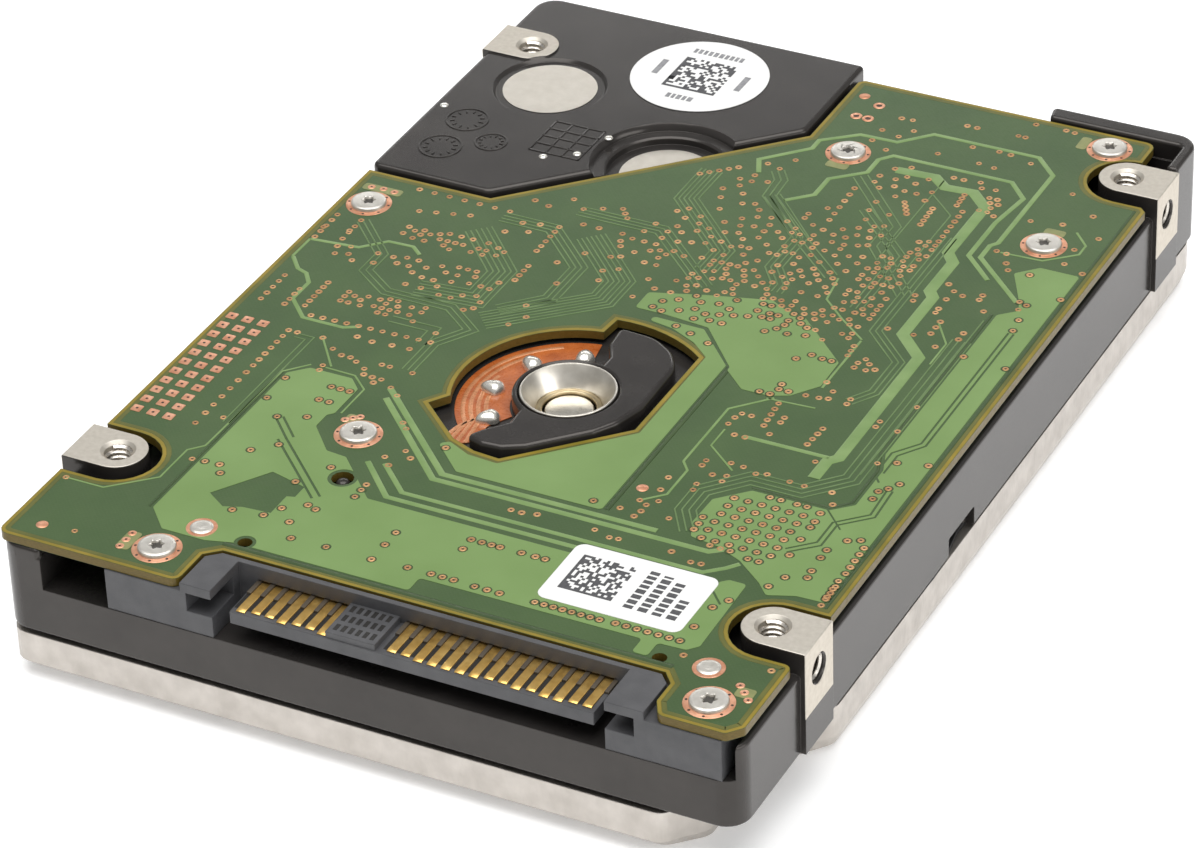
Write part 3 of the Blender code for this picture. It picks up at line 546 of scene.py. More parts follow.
GAPS = [
    ([(-19.0, -28.0), (-12.0, -34.5)], 0.22), ([(-19.6, -28.4), (-12.5, -35.0)], 0.22),
    ([(-21.4, -25.6), (-19.0, -28.0)], 0.22), ([(-20.9, -25.2), (-18.5, -27.6)], 0.22),
    ([(30.9, 12.4), (30.9, -6.6), (29.2, -8.9), (29.2, -12.4), (30.0, -13.4)], 0.2),
    ([(31.4, 12.4), (31.4, -6.8), (29.8, -9.1), (29.8, -12.0)], 0.2),
    ([(31.6, -14.1), (31.8, -18.2), (29.4, -20.5), (29.4, -23.7), (27.2, -25.7)], 0.2),
    ([(31.1, -14.2), (31.3, -18.0), (28.9, -20.3), (28.9, -23.4), (26.9, -25.3)], 0.2),
    ([(26.8, -17.8), (29.9, -21.0)], 0.16), ([(23.9, -30.9), (23.9, -33.0), (25.4, -34.6)], 0.2),
]


def make_pours():
    shape = Shape()
    for outline in (FRONT_POUR, MIDDLE_POUR, WINDOW_POUR, RIGHT_POUR):
        shape.prism(rounded([(x, y, 0.35) for x, y in outline], 3), TOP - 0.004, TOP + POUR_H)
    made = shape.object("board_copper_pours", pour, "solder_mask")
    cutters = []
    for path, width in GAPS:
        cutters.append(cutter(offset(path, width / 2) + offset(path, -width / 2)[::-1], TOP - 0.1, TOP + 0.1))
    cutters.append(cutter(HOUSE, TOP - 0.1, TOP + 0.1))
    for x, y, r in ((-14.4, -42.9, 0.95), (24.1, -43.1, 0.95), (-11.6, -31.3, 1.3), (-18.8, -42.5, 1.1)):
        cutters.append(cutter(circle((x, y), r, 24), TOP - 0.1, TOP + 0.1))
    apply_boolean(made, "DIFFERENCE", *cutters)
    made.data.set_sharp_from_angle(angle=math.radians(30))


WIDE = [
    ([(-0.9, 28.4), (-1.9, 30.6), (1.8, 34.4), (1.8, 36.0), (4.9, 38.5), (8.6, 38.6), (11.2, 41.3), (21.8, 41.3),
      (24.2, 38.8), (24.2, 25.9), (23.7, 25.2), (23.7, 23.0), (29.6, 17.3)], 0.5),
    ([(3.3, 24.8), (5.5, 26.9), (5.5, 30.0), (8.3, 32.5), (8.3, 35.0), (9.3, 36.2), (21.2, 36.2), (23.3, 33.9),
      (22.8, 30.5), (22.6, 29.0), (22.6, 22.9), (25.8, 19.7)], 0.5),
    ([(10.6, 34.0), (14.4, 34.2), (15.9, 32.9), (18.7, 33.1), (20.7, 31.1), (20.7, 22.6), (21.8, 21.2), (21.8, 16.0),
      (22.5, 15.1), (22.5, 8.5), (25.3, 5.6), (25.4, -11.4), (24.7, -12.2), (24.7, -15.0)], 1.15),
    ([(16.6, -11.7), (24.6, -11.7)], 0.5),
    ([(-33.3, 1.3), (-28.5, 1.8), (-26.5, 3.8), (-24.0, 3.9), (-22.8, 2.9)], 0.4),
    ([(-33.2, -2.0), (-31.8, -3.6), (-30.7, -4.0), (-29.7, -5.3), (-29.7, -8.2), (-27.3, -10.6), (-23.2, -10.6),
      (-21.9, -9.9)], 0.42),
    ([(-33.3, 1.3), (-33.3, -2.0)], 0.3),
    ([(-14.6, -17.5), (-4.2, -27.3), (16.1, -27.3)], 0.62),
    ([(-14.2, -19.0), (-4.6, -28.25), (21.3, -28.25), (22.3, -27.5)], 0.62),
    ([(-9.4, -27.9), (-6.0, -31.1), (22.1, -31.1), (23.6, -29.8), (24.4, -28.8)], 0.5),
    ([(-10.9, -28.2), (-6.9, -32.2), (22.6, -32.2)], 0.55),
    ([(16.5, -5.3), (13.6, -8.4), (13.6, -17.2), (14.5, -18.3), (14.5, -22.2), (12.9, -23.8)], 0.26),
    ([(20.4, -5.3), (15.9, -5.6)], 0.2), ([(19.6, 6.0), (19.6, -2.2)], 0.26),
    ([(18.0, -16.8), (14.7, -14.1), (14.7, -11.4)], 0.2), ([(-24.0, -12.8), (-21.0, -16.6)], 0.22),
    ([(-21.4, -16.9), (-18.4, -17.0), (-16.6, -18.6), (-16.6, -22.7)], 0.2),
    ([(-33.2, -40.8), (-29.5, -40.8), (-25.9, -37.5), (-25.9, -33.0), (-24.8, -31.8), (-24.6, -19.0),
      (-22.8, -17.0)], 0.2),
    ([(30.0, 30.4), (31.6, 28.6), (31.6, 27.0), (29.0, 24.7), (25.0, 24.5)], 0.25),
    ([(24.4, 11.8), (26.6, 8.6), (26.6, 5.0)], 0.2), ([(13.5, 14.6), (14.0, 11.0), (16.6, 8.6), (19.6, 6.2)], 0.22),
]

# (path of the middle line, how many, distance between them)
BUNDLES = [
    ([(27.7, 9.5), (27.7, -13.9), (24.6, -17.2), (19.9, -17.2), (16.9, -20.5), (16.9, -23.6), (18.6, -26.2)], 4, 0.58),
    ([(20.0, 25.0), (20.1, 8.0), (24.0, 4.2), (24.0, -1.0), (22.6, -3.2)], 3, 0.5),
    ([(15.4, 34.0), (15.4, 18.8), (17.0, 17.0)], 1, 0.5), ([(15.4, 31.3), (18.4, 28.5), (18.4, 18.4)], 1, 0.5),
    ([(-5.0, 27.0), (-5.0, 21.5), (2.0, 14.6), (2.0, 11.0)], 6, 0.42),
    ([(0.6, 29.4), (1.6, 28.0), (1.8, 25.0), (8.6, 18.4), (12.8, 14.6)], 3, 0.6),
    ([(8.0, 31.6), (14.4, 24.6), (14.4, 21.0), (20.0, 14.4)], 3, 0.7),
    ([(-10.0, 12.0), (-4.2, 6.2), (-4.2, 2.8), (-12.4, -4.6)], 7, 0.45),
    ([(-20.0, 9.0), (-14.6, 3.4), (-14.6, -1.6), (-20.4, -2.2)], 6, 0.5),
    ([(-30.4, 6.0), (-26.0, 1.6), (-26.0, -1.4), (-22.6, -3.8), (-16.0, -3.8), (-12.6, -6.4), (-14.6, -9.6),
      (-14.6, -14.4)], 3, 0.55),
    ([(-13.0, 15.6), (-4.6, 15.6), (3.2, 8.4)], 4, 0.5),
    ([(-19.0, 11.8), (-13.8, 11.8), (-8.6, 6.8), (-8.6, 1.0), (-12.0, -2.4)], 4, 0.5),
    ([(2.0, 25.2), (7.4, 19.6), (7.4, 14.0), (9.2, 11.6), (9.2, 10.2)], 4, 0.5),
    ([(28.1, 13.4), (28.1, -13.0)], 1, 0.5), ([(-20.0, -7.6), (-15.6, -7.6), (-15.6, -10.2)], 2, 0.9),
    ([(-26.4, -13.4), (-25.0, -13.4), (-25.0, -28.0)], 2, 0.6),
    ([(10.8, 26.4), (17.0, 20.2), (17.0, 10.6)], 3, 0.55),
]


def make_traces():
    shape = Shape()
    for path, width in WIDE:
        shape.ribbon(path, width, TOP - 0.004, TRACE_H)
    shape.object("board_wide_traces", trace, "solder_mask")
    shape = Shape()
    for path, count, pitch in BUNDLES:
        for k in range(count):
            shape.ribbon(offset(path, (k - (count - 1) / 2) * pitch), 0.16, TOP - 0.004, TRACE_H)
    shape.object("board_fine_traces", fine_trace, "solder_mask")
    shape = Shape()
    edges = [([(10.9, -2.4), (10.9, -26.3)], 0.5), ([(-16.0, -43.75), (25.6, -43.75)], 0.6),
             ([(28.4, 14.6), (28.4, -9.4), (29.2, -11.8), (29.2, -17.0), (27.8, -18.4), (20.6, -18.4)], 0.28),
             ([(-24.45, -18.9), (-24.45, -41.6)], 0.24), ([(33.45, 36.0), (33.45, -31.6)], 0.3)]
    for path, width in edges:
        shape.ribbon(path, width, TOP - 0.002, 0.012)
    shape.object("board_dark_channels", groove, "solder_mask")


def stepped(start, end, count):
    """Evenly spaced points from start to end."""
    return [(start[0] + (end[0] - start[0]) * i / (count - 1), start[1] + (end[1] - start[1]) * i / (count - 1))
            for i in range(count)]


def scatter(draw, count, x0, x1, y0, y1, gap, taken, keep=lambda x, y: True):
    """Seeded points in a rectangle, on a 0.4 mm grid and clear of each other."""
    found = []
    for _ in range(count * 30):
        if len(found) == count:
            break
        x, y = round(draw.uniform(x0, x1) / 0.4) * 0.4, round(draw.uniform(y0, y1) / 0.4) * 0.4
        if keep(x, y) and all((x - a) ** 2 + (y - b) ** 2 > gap * gap for a, b in taken + found):
            found.append((x, y))
    return found


def inside(outline, x, y):
    hit = False
    for (x0, y0), (x1, y1) in zip(outline, outline[1:] + outline[:1]):
        if (y0 > y) != (y1 > y) and x < (x1 - x0) * (y - y0) / (y1 - y0) + x0:
            hit = not hit
    return hit


VIAS = [
    # front left
    (-27.4, -29.1), (-20.9, -30.8), (-19.1, -29.1), (-13.3, -30.3), (-9.3, -31.3), (-9.3, -32.2), (-9.3, -33.3),
    (-15.0, -33.4), (-24.8, -34.0), (-23.6, -33.9), (-22.2, -33.8), (-21.5, -34.9), (-12.3, -36.0), (-11.4, -36.3),
    (-14.1, -37.3), (-3.6, -36.5), (-3.6, -38.4), (-12.5, -38.8), (-15.0, -38.8), (-17.8, -39.2), (-11.2, -40.8),
    (-7.9, -40.7), (-3.6, -40.7), (-0.3, -40.5), (-33.2, -40.8), (-28.3, -47.3),
    # front right
    (2.6, -34.8), (3.6, -34.8), (4.5, -34.8), (5.3, -34.8), (7.3, -34.8), (8.6, -34.8), (9.5, -34.8), (2.6, -36.3),
    (3.6, -29.6), (4.6, -29.6), (5.9, -29.3), (11.3, -29.3), (12.9, -29.8), (13.7, -29.7), (18.5, -29.5),
    (20.6, -30.2), (21.5, -30.1), (28.6, -29.0), (30.3, -28.3), (27.9, -30.7), (32.9, -28.5), (32.9, -29.5),
    (32.9, -30.4), (25.8, -33.8), (25.0, -35.2), (24.8, -38.2), (25.7, -42.0), (33.0, -41.0),
    # left
    (-26.5, -12.95), (-25.6, -27.4), (-21.3, -11.4), (-19.7, -11.6), (-17.8, -11.4), (-16.1, -11.3), (-24.0, -12.8),
    (-22.3, -14.0), (-21.1, -14.6), (-20.2, -14.6), (-19.4, -15.0), (-18.2, -15.7), (-17.8, -16.5), (-16.9, -16.6),
    (-16.0, -16.6), (-16.4, -17.3), (-17.1, -14.5), (-16.3, -14.5), (-14.0, -14.6), (-14.1, -3.1), (-14.8, -3.7),
    (-10.0, -4.2), (-9.1, -2.5), (-21.8, -16.7), (-21.7, -17.5), (-19.4, -19.4), (-18.5, -19.4), (-17.6, -19.4),
    (-23.8, -19.8), (-19.4, -21.6), (-18.4, -21.6), (-23.7, -23.2), (-19.0, -24.4), (-21.4, -25.4), (-14.6, -17.4),
    (-13.5, -18.3), (-11.0, -21.8), (-10.3, -22.5), (-8.7, -25.5), (-7.8, -26.3), (-9.9, -27.0), (-9.0, -28.0),
    (-5.8, -23.7), (-15.2, -8.1), (-33.2, 3.6), (-30.7, 4.0), (-10.0, -0.8), (-14.3, 0.3),
    # centre right
    (16.2, -3.1), (16.3, -3.9), (17.2, -3.9), (18.8, -3.8), (20.0, -3.7), (20.8, -3.5), (20.7, -2.3), (14.9, -4.9),
    (15.9, -4.9), (22.6, -2.8), (22.6, -3.6), (26.3, -4.9), (26.3, -5.8), (28.3, -5.7), (15.0, -8.6), (15.9, -8.6),
    (14.7, -9.4), (14.6, -10.5), (18.6, -7.7), (18.6, -8.5), (17.5, -9.5), (18.5, -10.5), (15.8, -11.8), (16.8, -11.8),
    (23.8, -12.7), (28.7, -10.8), (30.2, -10.1), (32.8, -9.4), (31.7, -12.9), (31.1, -13.9), (30.5, -14.6),
    (30.5, -15.8), (17.4, -15.8), (18.6, -15.9), (20.0, -16.4), (20.9, -16.1), (23.1, -16.3), (24.5, -16.4),
    (27.0, -16.3), (15.3, -16.3), (15.3, -17.1), (16.7, -18.0), (17.9, -17.7), (17.9, -18.6), (27.8, -17.9),
    (16.1, -19.8), (16.2, -20.7), (13.5, -19.9), (13.7, -21.8), (14.3, -23.4), (12.8, -23.9), (13.6, -24.3),
    (13.6, -25.3), (11.8, -25.6), (13.4, -26.2), (16.2, -25.3), (18.7, -24.0), (18.8, -25.0), (18.8, -25.9),
    (9.3, -25.6), (22.6, -19.1), (23.6, -19.1), (25.1, -19.1), (26.0, -19.1), (27.4, -19.5), (27.5, -20.8),
    (27.5, -21.7), (27.5, -23.6), (27.6, -26.0), (21.0, -27.4), (22.0, -27.5), (22.9, -27.5), (24.7, -27.9),
    (25.7, -27.9), (31.1, -22.2), (32.1, -21.7), (30.1, -24.1), (30.1, -25.3), (30.2, -27.3), (30.3, -28.3),
    # centre top and right edge
    (28.8, 7.3), (31.1, 12.9), (32.9, 7.0), (33.1, 24.1), (33.0, 19.3), (26.2, 23.0), (26.8, 22.0), (28.9, 22.0),
    (22.9, 17.7), (23.8, 16.8), (24.8, 16.4), (26.4, 17.2), (26.4, 16.4), (27.5, 14.8), (29.8, 17.5), (30.6, 17.2),
    (30.2, 16.3), (30.9, 14.7), (20.9, 14.8), (21.1, 13.9), (23.7, 13.6), (23.7, 12.9), (24.7, 11.7), (24.7, 10.7),
    (24.7, 9.6), (27.3, 10.8), (27.3, 9.7), (25.9, 7.8), (23.4, 8.8), (20.9, 8.8), (21.2, 3.5), (20.8, 2.7),
    (20.8, 1.9), (21.8, 2.9), (21.9, 1.9), (22.6, 2.3), (16.6, 2.2), (17.7, 2.0), (18.6, 2.0), (15.6, 1.1),
    (4.6, 3.3), (1.4, 3.3), (3.7, 1.6), (5.4, 1.0), (7.5, 0.2), (19.6, -1.2), (28.3, -1.6), (23.7, 15.3),
    # rear
    (2.3, 45.2), (13.4, 44.0), (14.4, 44.0), (18.5, 44.2), (19.2, 44.2), (7.2, 42.8), (8.3, 42.9), (9.2, 41.1),
    (8.3, 39.6), (6.4, 40.1), (15.4, 40.6), (18.0, 40.8), (19.2, 40.7), (21.5, 40.0), (17.1, 38.1), (18.7, 37.9),
    (12.9, 38.2), (27.1, 36.5), (30.3, 33.6), (28.3, 31.2), (25.4, 30.6), (32.2, 30.2), (30.9, 27.6), (31.0, 25.0),
    (24.6, 24.6), (25.6, 24.5), (6.3, 38.0), (8.2, 36.9), (1.3, 31.8), (-0.8, 30.2), (0.6, 29.8), (19.2, 46.8),
    (22.2, 46.9), (23.1, 46.8), (20.4, 34.3), (18.6, 35.0), (19.1, 34.1), (16.0, 34.8), (17.0, 34.8), (11.7, 34.9),
    (10.4, 34.1), (-1.0, 27.8), (-0.8, 26.7), (-2.0, 26.7), (-1.5, 25.6), (-2.7, 24.5), (-2.2, 23.0), (-0.6, 24.4),
    (0.1, 22.8), (-1.4, 21.1), (0.6, 27.2),
]


def via_points():
    """Every via: the ones listed, rows and grids of them, and seeded clusters in the busy areas."""
    points = list(VIAS)
    for start, end, count in (
        ((-27.4, -12.95), (-27.4, -19.2), 7), ((-27.4, -20.4), (-27.4, -27.4), 6), ((-26.8, -10.0), (-14.9, -9.6), 11),
        ((-32.3, -5.1), (-32.3, -9.4), 5), ((-29.9, -6.6), (-29.9, -9.3), 4), ((-28.1, -4.6), (-28.1, -8.8), 6),
        ((1.9, -40.5), (4.0, -40.5), 3), ((6.0, -40.6), (8.3, -40.6), 3), ((11.5, -40.5), (17.4, -40.5), 8),
        ((18.8, -40.4), (24.6, -40.4), 7), ((22.3, -7.9), (22.1, -10.6), 4), ((17.2, -5.9), (17.4, -8.6), 4),
        ((32.8, -22.6), (32.9, -26.5), 5), ((32.8, -27.7), (32.9, -31.3), 4), ((-13.4, 12.3), (-13.4, 7.8), 6),
        ((-12.9, 5.2), (-12.9, 2.6), 4), ((-33.1, 6.0), (-33.1, 1.8), 5), ((-30.6, 6.0), (-30.6, 2.5), 4),
        ((-18.5, 2.45), (-16.7, 2.45), 3), ((-9.5, 17.5), (-8.4, 16.2), 3), ((-3.0, 28.5), (-5.8, 26.0), 5),
        ((16.4, 29.0), (16.5, 26.0), 5), ((19.1, 29.6), (19.2, 24.0), 7), ((8.4, 29.4), (8.6, 23.4), 6),
        ((13.6, 29.0), (14.6, 27.2), 4), ((18.1, 32.4), (18.2, 30.4), 4), ((19.4, 5.0), (19.5, 3.4), 3),
        ((-28.3, 13.0), (-18.8, 12.9), 7), ((-26.5, 9.6), (-21.8, 10.8), 4),
    ):
        points += stepped(start, end, count)
    for i in range(6):
        for j in range(6):
            points.append((19.9 + 1.27 * i, -20.4 - 1.27 * j))
    for i in range(3):
        for j in range(3):
            points.append((9.8 + 1.62 * i, 14.4 - 1.62 * j))
    draw = random.Random(7)
    clear = lambda x, y: all(math.dist((x, y), spot) > 2.6 for spot in BOARD_SCREWS)
    for count, x0, x1, y0, y1, gap in (
        (24, -26.2, -17.6, -7.2, -4.6, 0.75), (26, -26.0, -16.0, 4.6, 7.4, 0.75), (14, -31.0, -20.0, -0.8, 2.0, 0.9),
        (18, -22.0, -14.0, -2.6, 2.0, 0.9), (26, 1.6, 9.6, 10.2, 16.6, 0.72), (34, 6.0, 14.4, 16.4, 25.4, 0.78),
        (44, 15.2, 19.0, 9.4, 19.8, 0.66), (26, 8.6, 14.8, 5.6, 9.4, 0.7), (22, 0.4, 7.6, 3.2, 8.6, 1.0),
        (16, 17.4, 19.4, 18.4, 23.8, 0.7), (14, 9.0, 15.4, 26.0, 33.6, 1.3), (20, -6.6, -0.6, 4.2, 17.0, 1.2),
        (12, 0.6, 5.4, 17.6, 23.6, 1.1), (10, 9.6, 14.0, 30.2, 33.0, 1.1), (14, -19.0, -8.6, 3.0, 17.4, 1.5),
        (8, 20.4, 22.2, 30.0, 33.0, 0.8), (10, -8.0, -2.0, 9.0, 14.0, 0.8), (18, 1.0, 9.0, 8.0, 13.0, 0.75),
        (24, 2.0, 14.0, 12.0, 22.0, 0.9), (16, 9.0, 19.0, 4.0, 10.0, 0.8), (14, -6.0, 2.0, 12.0, 20.0, 1.0),
    ):
        points += scatter(draw, count, x0, x1, y0, y1, gap, points, clear)
    return points


def on_pour(x, y):
    return any(inside(outline, x, y) for outline in (FRONT_POUR, MIDDLE_POUR, WINDOW_POUR, RIGHT_POUR))


def make_vias():
    rings, holes, halos = Shape(), Shape(), Shape()
    draw = random.Random(3)
    for x, y in via_points():
        base = TOP + (POUR_H if on_pour(x, y) else 0.0)
        if on_pour(x, y):
            halos.lathe((x, y), [(0.0, base - 0.004), (0.46, base - 0.004), (0.46, base + 0.003),
                                 (0.0, base + 0.003)], 10)
        r = draw.uniform(0.27, 0.33)
        rings.lathe((x, y), [(0.11, base - 0.01), (r + 0.03, base - 0.01), (r, base + 0.028), (r - 0.07, base + 0.045),
                             (0.16, base + 0.04), (0.11, base + 0.01), (0.11, base - 0.01)], 10)
        # The dark disc at the middle of each via is painted shade for its open hole.
        holes.lathe((x, y), [(0.0, base - 0.008), (0.12, base - 0.008), (0.12, base + 0.016), (0.0, base + 0.016)], 8)
    rings.object("board_via_rings", via_metal, "copper_wire", smooth=60)
    holes.object("board_via_hole_shade", via_hole_shade, "solder_mask")
    halos.object("board_via_clearances", groove, "solder_mask")


def make_test_pads():
    """Square copper pads with a via in each, three across, and the larger plated holes at the rear."""
    pads, holes = Shape(), Shape()
    for i in range(3):
        for j in range(11):
            x, y = -33.2 + 1.6 * i, -12.95 - 1.625 * j
            corners = [(x + u * 0.48, y + v * 0.48, 0.12) for u, v in ((-1, -1), (1, -1), (1, 1), (-1, 1))]
            pads.prism(rounded(corners, 3), TOP - 0.004, TOP + 0.04, 0.02)
            # The dark discs in the pads and in the plated holes are painted shade for their holes.
            holes.lathe((x, y), [(0.0, TOP + 0.03), (0.13, TOP + 0.03), (0.13, TOP + 0.048), (0.0, TOP + 0.048)], 10)
    for x, y in ((4.3, 44.1), (3.1, 41.5), (4.3, 41.5)):
        pads.lathe((x, y), [(0.26, TOP), (0.58, TOP), (0.52, TOP + 0.05), (0.3, TOP + 0.05), (0.26, TOP)], 20)
        holes.lathe((x, y), [(0.0, TOP + 0.005), (0.27, TOP + 0.005), (0.27, TOP + 0.02), (0.0, TOP + 0.02)], 16)
    for x, y in ((-31.3, -47.6), (12.2, -22.2), (2.3, 45.2)):
        pads.lathe((x, y), [(0.0, TOP - 0.002), (0.55, TOP - 0.002), (0.45, TOP + 0.05), (0.0, TOP + 0.07)], 20)
    pads.object("board_test_pads", copper, "copper_wire", smooth=60)
    holes.object("board_pad_hole_shade", via_hole_shade, "solder_mask")


def board_outline():
    front_y, half = span("circuit_board")[0].y, 34.3
    outline = rounded([
        (-half, -39.85, 0.0), (-half, front_y, 0.9), (-16.8, front_y, 0.8), (-16.8, -45.8, 0.0), (-15.5, -44.64, 0.0),
        (25.4, -44.64, 0.0), (26.4, -45.8, 0.0), (26.4, -48.3, 0.6), (27.3, front_y, 0.8), (33.2, front_y, 0.6),
        (half, -48.6, 0.6), (half, -39.75, 0.7), (33.0, -39.75, 0.0),
    ])[:-1]
    outline += arc((BOSS_X, BOSS_Y[0]), 3.65, 270, 90, 14)
    outline += [(half, -32.45), (half, 36.2), (33.7, 36.8)]
    outline += arc((BOSS_X, BOSS_Y[1]), 3.7, 270, 90, 14)
    outline += rounded([(30.86, 45.0, 0), (30.86, 47.9, 1.0), (29.0, 47.9, 0)])[:-1]
    outline += [(1.15, 47.9), (0.65, 47.4), (0.65, 36.4), (-21.55, 14.25), (-half, 14.25), (-half, -32.35)]
    return outline + arc((-BOSS_X, BOSS_Y[0]), 3.75, 90, -90, 14)


def window_outline():
    return (arc(SPINDLE, 12.5, 51.6, 96.8, 8) + arc(SPINDLE, 10.25, 99.5, 205, 16)
            + [(-10.5, -18.1), (-5.9, -22.1), (-3.4, -23.05), (-0.9, -23.25), (7.7, -14.6)])


def edge_band(shape, outline, outer, inner, height):
    """A thin flat band between two insets of an outline."""
    near, far = inset(outline, outer), inset(outline, inner)
    z0, z1, count = TOP - 0.003, TOP + height, len(outline)
    shape.add([(x, y, z) for loop, z in ((near, z0), (near, z1), (far, z1), (far, z0)) for x, y in loop],
              [[a * count + i, a * count + (i + 1) % count, b * count + (i + 1) % count, b * count + i]
               for a, b in ((0, 1), (1, 2), (2, 3), (3, 0)) for i in range(count)])


def make_margins():
    """Bare laminate shows through the mask in a narrow band along the board's edges."""
    bright, olive = Shape(), Shape()
    edge_band(bright, board_outline(), 0.02, 0.36, 0.006)
    edge_band(olive, board_outline(), 0.36, 0.80, 0.004)
    edge_band(bright, window_outline(), -0.02, -0.42, 0.006)
    edge_band(olive, window_outline(), -0.42, -0.80, 0.004)
    bright.object("board_bright_edge", bright_margin, "solder_mask")
    olive.object("board_olive_edge", margin, "solder_mask")


# ---- screws -----------------------------------------------------------------------------------------


def six_lobe(centre, radius, steps=36, turn=0.0):
    cx, cy = centre
    points = []
    for i in range(steps):
        a = 2 * math.pi * i / steps
        r = radius * (1 + 0.17 * math.cos(6 * a))
        points.append((cx + r * math.cos(a + turn), cy + r * math.sin(a + turn)))
    return points


def screw_head(shape, centre, z0, height, radius, recess, depth, turn, up=1):
    """A low head with a rounded rim and a six-lobe recess."""
    steps = 36
    levels = [
        (circle(centre, radius, steps), 0.0), (circle(centre, radius, steps), height * 0.45),
        (circle(centre, radius * 0.965, steps), height * 0.78), (circle(centre, radius * 0.89, steps), height * 0.95),
        (circle(centre, radius * 0.78, steps), height), (six_lobe(centre, recess * 1.12, steps, turn), height),
        (six_lobe(centre, recess, steps, turn), height - 0.06), (six_lobe(centre, recess * 0.92, steps, turn),
                                                               height - depth),
    ]
    shape.loft([[(x, y, z0 + up * z) for x, y in outline] for outline, z in levels])


def make_board_screws():
    draw = random.Random(11)
    turns = [draw.uniform(0, 1) for _ in BOARD_SCREWS]
    recess_shade_discs = Shape()
    for i, spot in enumerate(BOARD_SCREWS):
        node = f"board_screw_{i + 1}"
        low, high = span(node)
        shape = Shape()
        screw_head(shape, spot, TOP + 0.02, high.z - TOP - 0.02, 1.65, 0.56, 0.36, turns[i])
        shape.lathe(spot, [(0.0, low.z), (0.6, low.z), (0.75, low.z + 0.3), (0.75, TOP + 0.03), (0.0, TOP + 0.03)], 20)
        made = shape.object(f"screw_with_recess_{i + 1}", steel, "screw_steel")
        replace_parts(made, node)
        # Each recess gets a dark six-lobe disc near its bottom: painted shade, not a part of the screw.
        recess_shade_discs.prism(six_lobe(spot, 0.47, 36, turns[i]), high.z - 0.37, high.z - 0.22)
    recess_shade_discs.object("screw_recess_painted_shade", recess_painted_shade, "screw_steel")
    lands, dots, tabs, dot_holes = Shape(), Shape(), Shape(), Shape()
    for i, spot in enumerate(BOARD_SCREWS):
        lands.lathe(spot, [(1.1, TOP), (2.15, TOP), (2.1, TOP + 0.025), (1.1, TOP + 0.025), (1.1, TOP)], 40)
        for k in range(8):
            a = math.radians(45 * k + 12)
            x, y = spot[0] + 1.88 * math.cos(a), spot[1] + 1.88 * math.sin(a)
            dots.lathe((x, y), [(0.0, TOP + 0.02), (0.13, TOP + 0.02), (0.13, TOP + 0.03), (0.0, TOP + 0.03)], 8)
    for x0, x1, y0, y1 in (
        (-24.1, -22.8, -47.9, -45.3), (4.1, 6.3, 32.0, 33.1), (27.2, 29.2, 29.0, 30.1), (-33.4, -29.4, 11.0, 12.1),
        (24.1, 25.1, 44.3, 46.5), (31.6, 33.2, -45.2, -43.9), (-15.9, -14.6, -23.8, -22.4),
    ):
        tabs.prism(rounded([(x0, y0, 0.3), (x1, y0, 0.3), (x1, y1, 0.3), (x0, y1, 0.3)], 3), TOP - 0.004, TOP + 0.022)
    for x, y in ((-23.7, -45.6), (-23.7, -46.6), (-23.7, -47.6), (31.6, -43.8), (32.3, -44.5), (33.0, -45.3),
                 (-32.6, 11.6), (-31.4, 11.7), (-30.2, 11.6), (-15.8, -23.4), (-15.3, -22.9), (-14.8, -22.5)):
        lands.lathe((x, y), [(0.12, TOP + 0.01), (0.4, TOP + 0.01), (0.34, TOP + 0.05), (0.12, TOP + 0.05),
                             (0.12, TOP + 0.01)], 12)
        dot_holes.lathe((x, y), [(0.0, TOP + 0.02), (0.13, TOP + 0.02), (0.13, TOP + 0.035), (0.0, TOP + 0.035)], 8)
    lands.object("screw_copper_lands", copper, "copper_wire")
    # The dark dots round each screw land and on the small lands are painted shade for via holes.
    dots.add(dot_holes.points, dot_holes.faces)
    dots.object("screw_land_via_shade", via_hole_shade, "solder_mask")
    tabs.object("screw_ground_tabs", tab, "tin")
    for i, spot in enumerate(((-18.8, -42.5), (28.3, -42.7))):
        node = f"solder_peg_{i + 1}"
        low, high = span(node)
        shape = Shape()
        shape.lathe(spot, [(0.0, low.z), (0.75, low.z), (0.75, TOP + 0.02), (1.02, TOP + 0.02), (1.0, TOP + 0.08),
                           (0.9, TOP + 0.13), (0.7, high.z - 0.02), (0.35, high.z - 0.06), (0.0, high.z - 0.09)], 28)
        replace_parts(shape.object(f"solder_fillet_{i + 1}", steel, "tin"), node)
        ring = Shape()
        ring.lathe(spot, [(0.9, TOP), (1.38, TOP), (1.34, TOP + 0.03), (0.9, TOP + 0.03), (0.9, TOP)], 28)
        ring.object(f"peg_copper_ring_{i + 1}", copper, "copper_wire")


def make_locating_pin():
    """The dark tip of a pin of the case, seen in one of the board's locating holes."""
    tip = Shape()
    tip.lathe((-11.6, -31.3), [(0.0, TOP - 0.9), (0.62, TOP - 0.9), (0.62, TOP - 0.45), (0.5, TOP - 0.26),
                               (0.3, TOP - 0.16),
                               (0.0, TOP - 0.12)], 24)
    tip.object("locating_pin_tip", casting, "coated_casting", smooth=60)


def make_cover_screws():
    for i in range(1, 7):
        node = f"cover_screw_{i}"
        top = span(node)[1].z
        spot = centre_of(node)
        shape = Shape()
        screw_head(shape, spot, 0.68, 0.63, 2.1, 0.62, 0.4, 0.4 * i, -1)
        shape.lathe(spot, [(0.0, 0.67), (0.9, 0.67), (0.9, top - 0.3), (0.7, top), (0.0, top)], 20)
        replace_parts(shape.object(f"cover_fastener_{i}", steel, "screw_steel"), node)


# ---- casting ----------------------------------------------------------------------------------------


def solid(outline, z0, z1, fillet=0.0, foot=0.0):
    shape = Shape()
    shape.prism(outline, z0, z1, fillet, foot)
    return shape.object("solid", None, None)


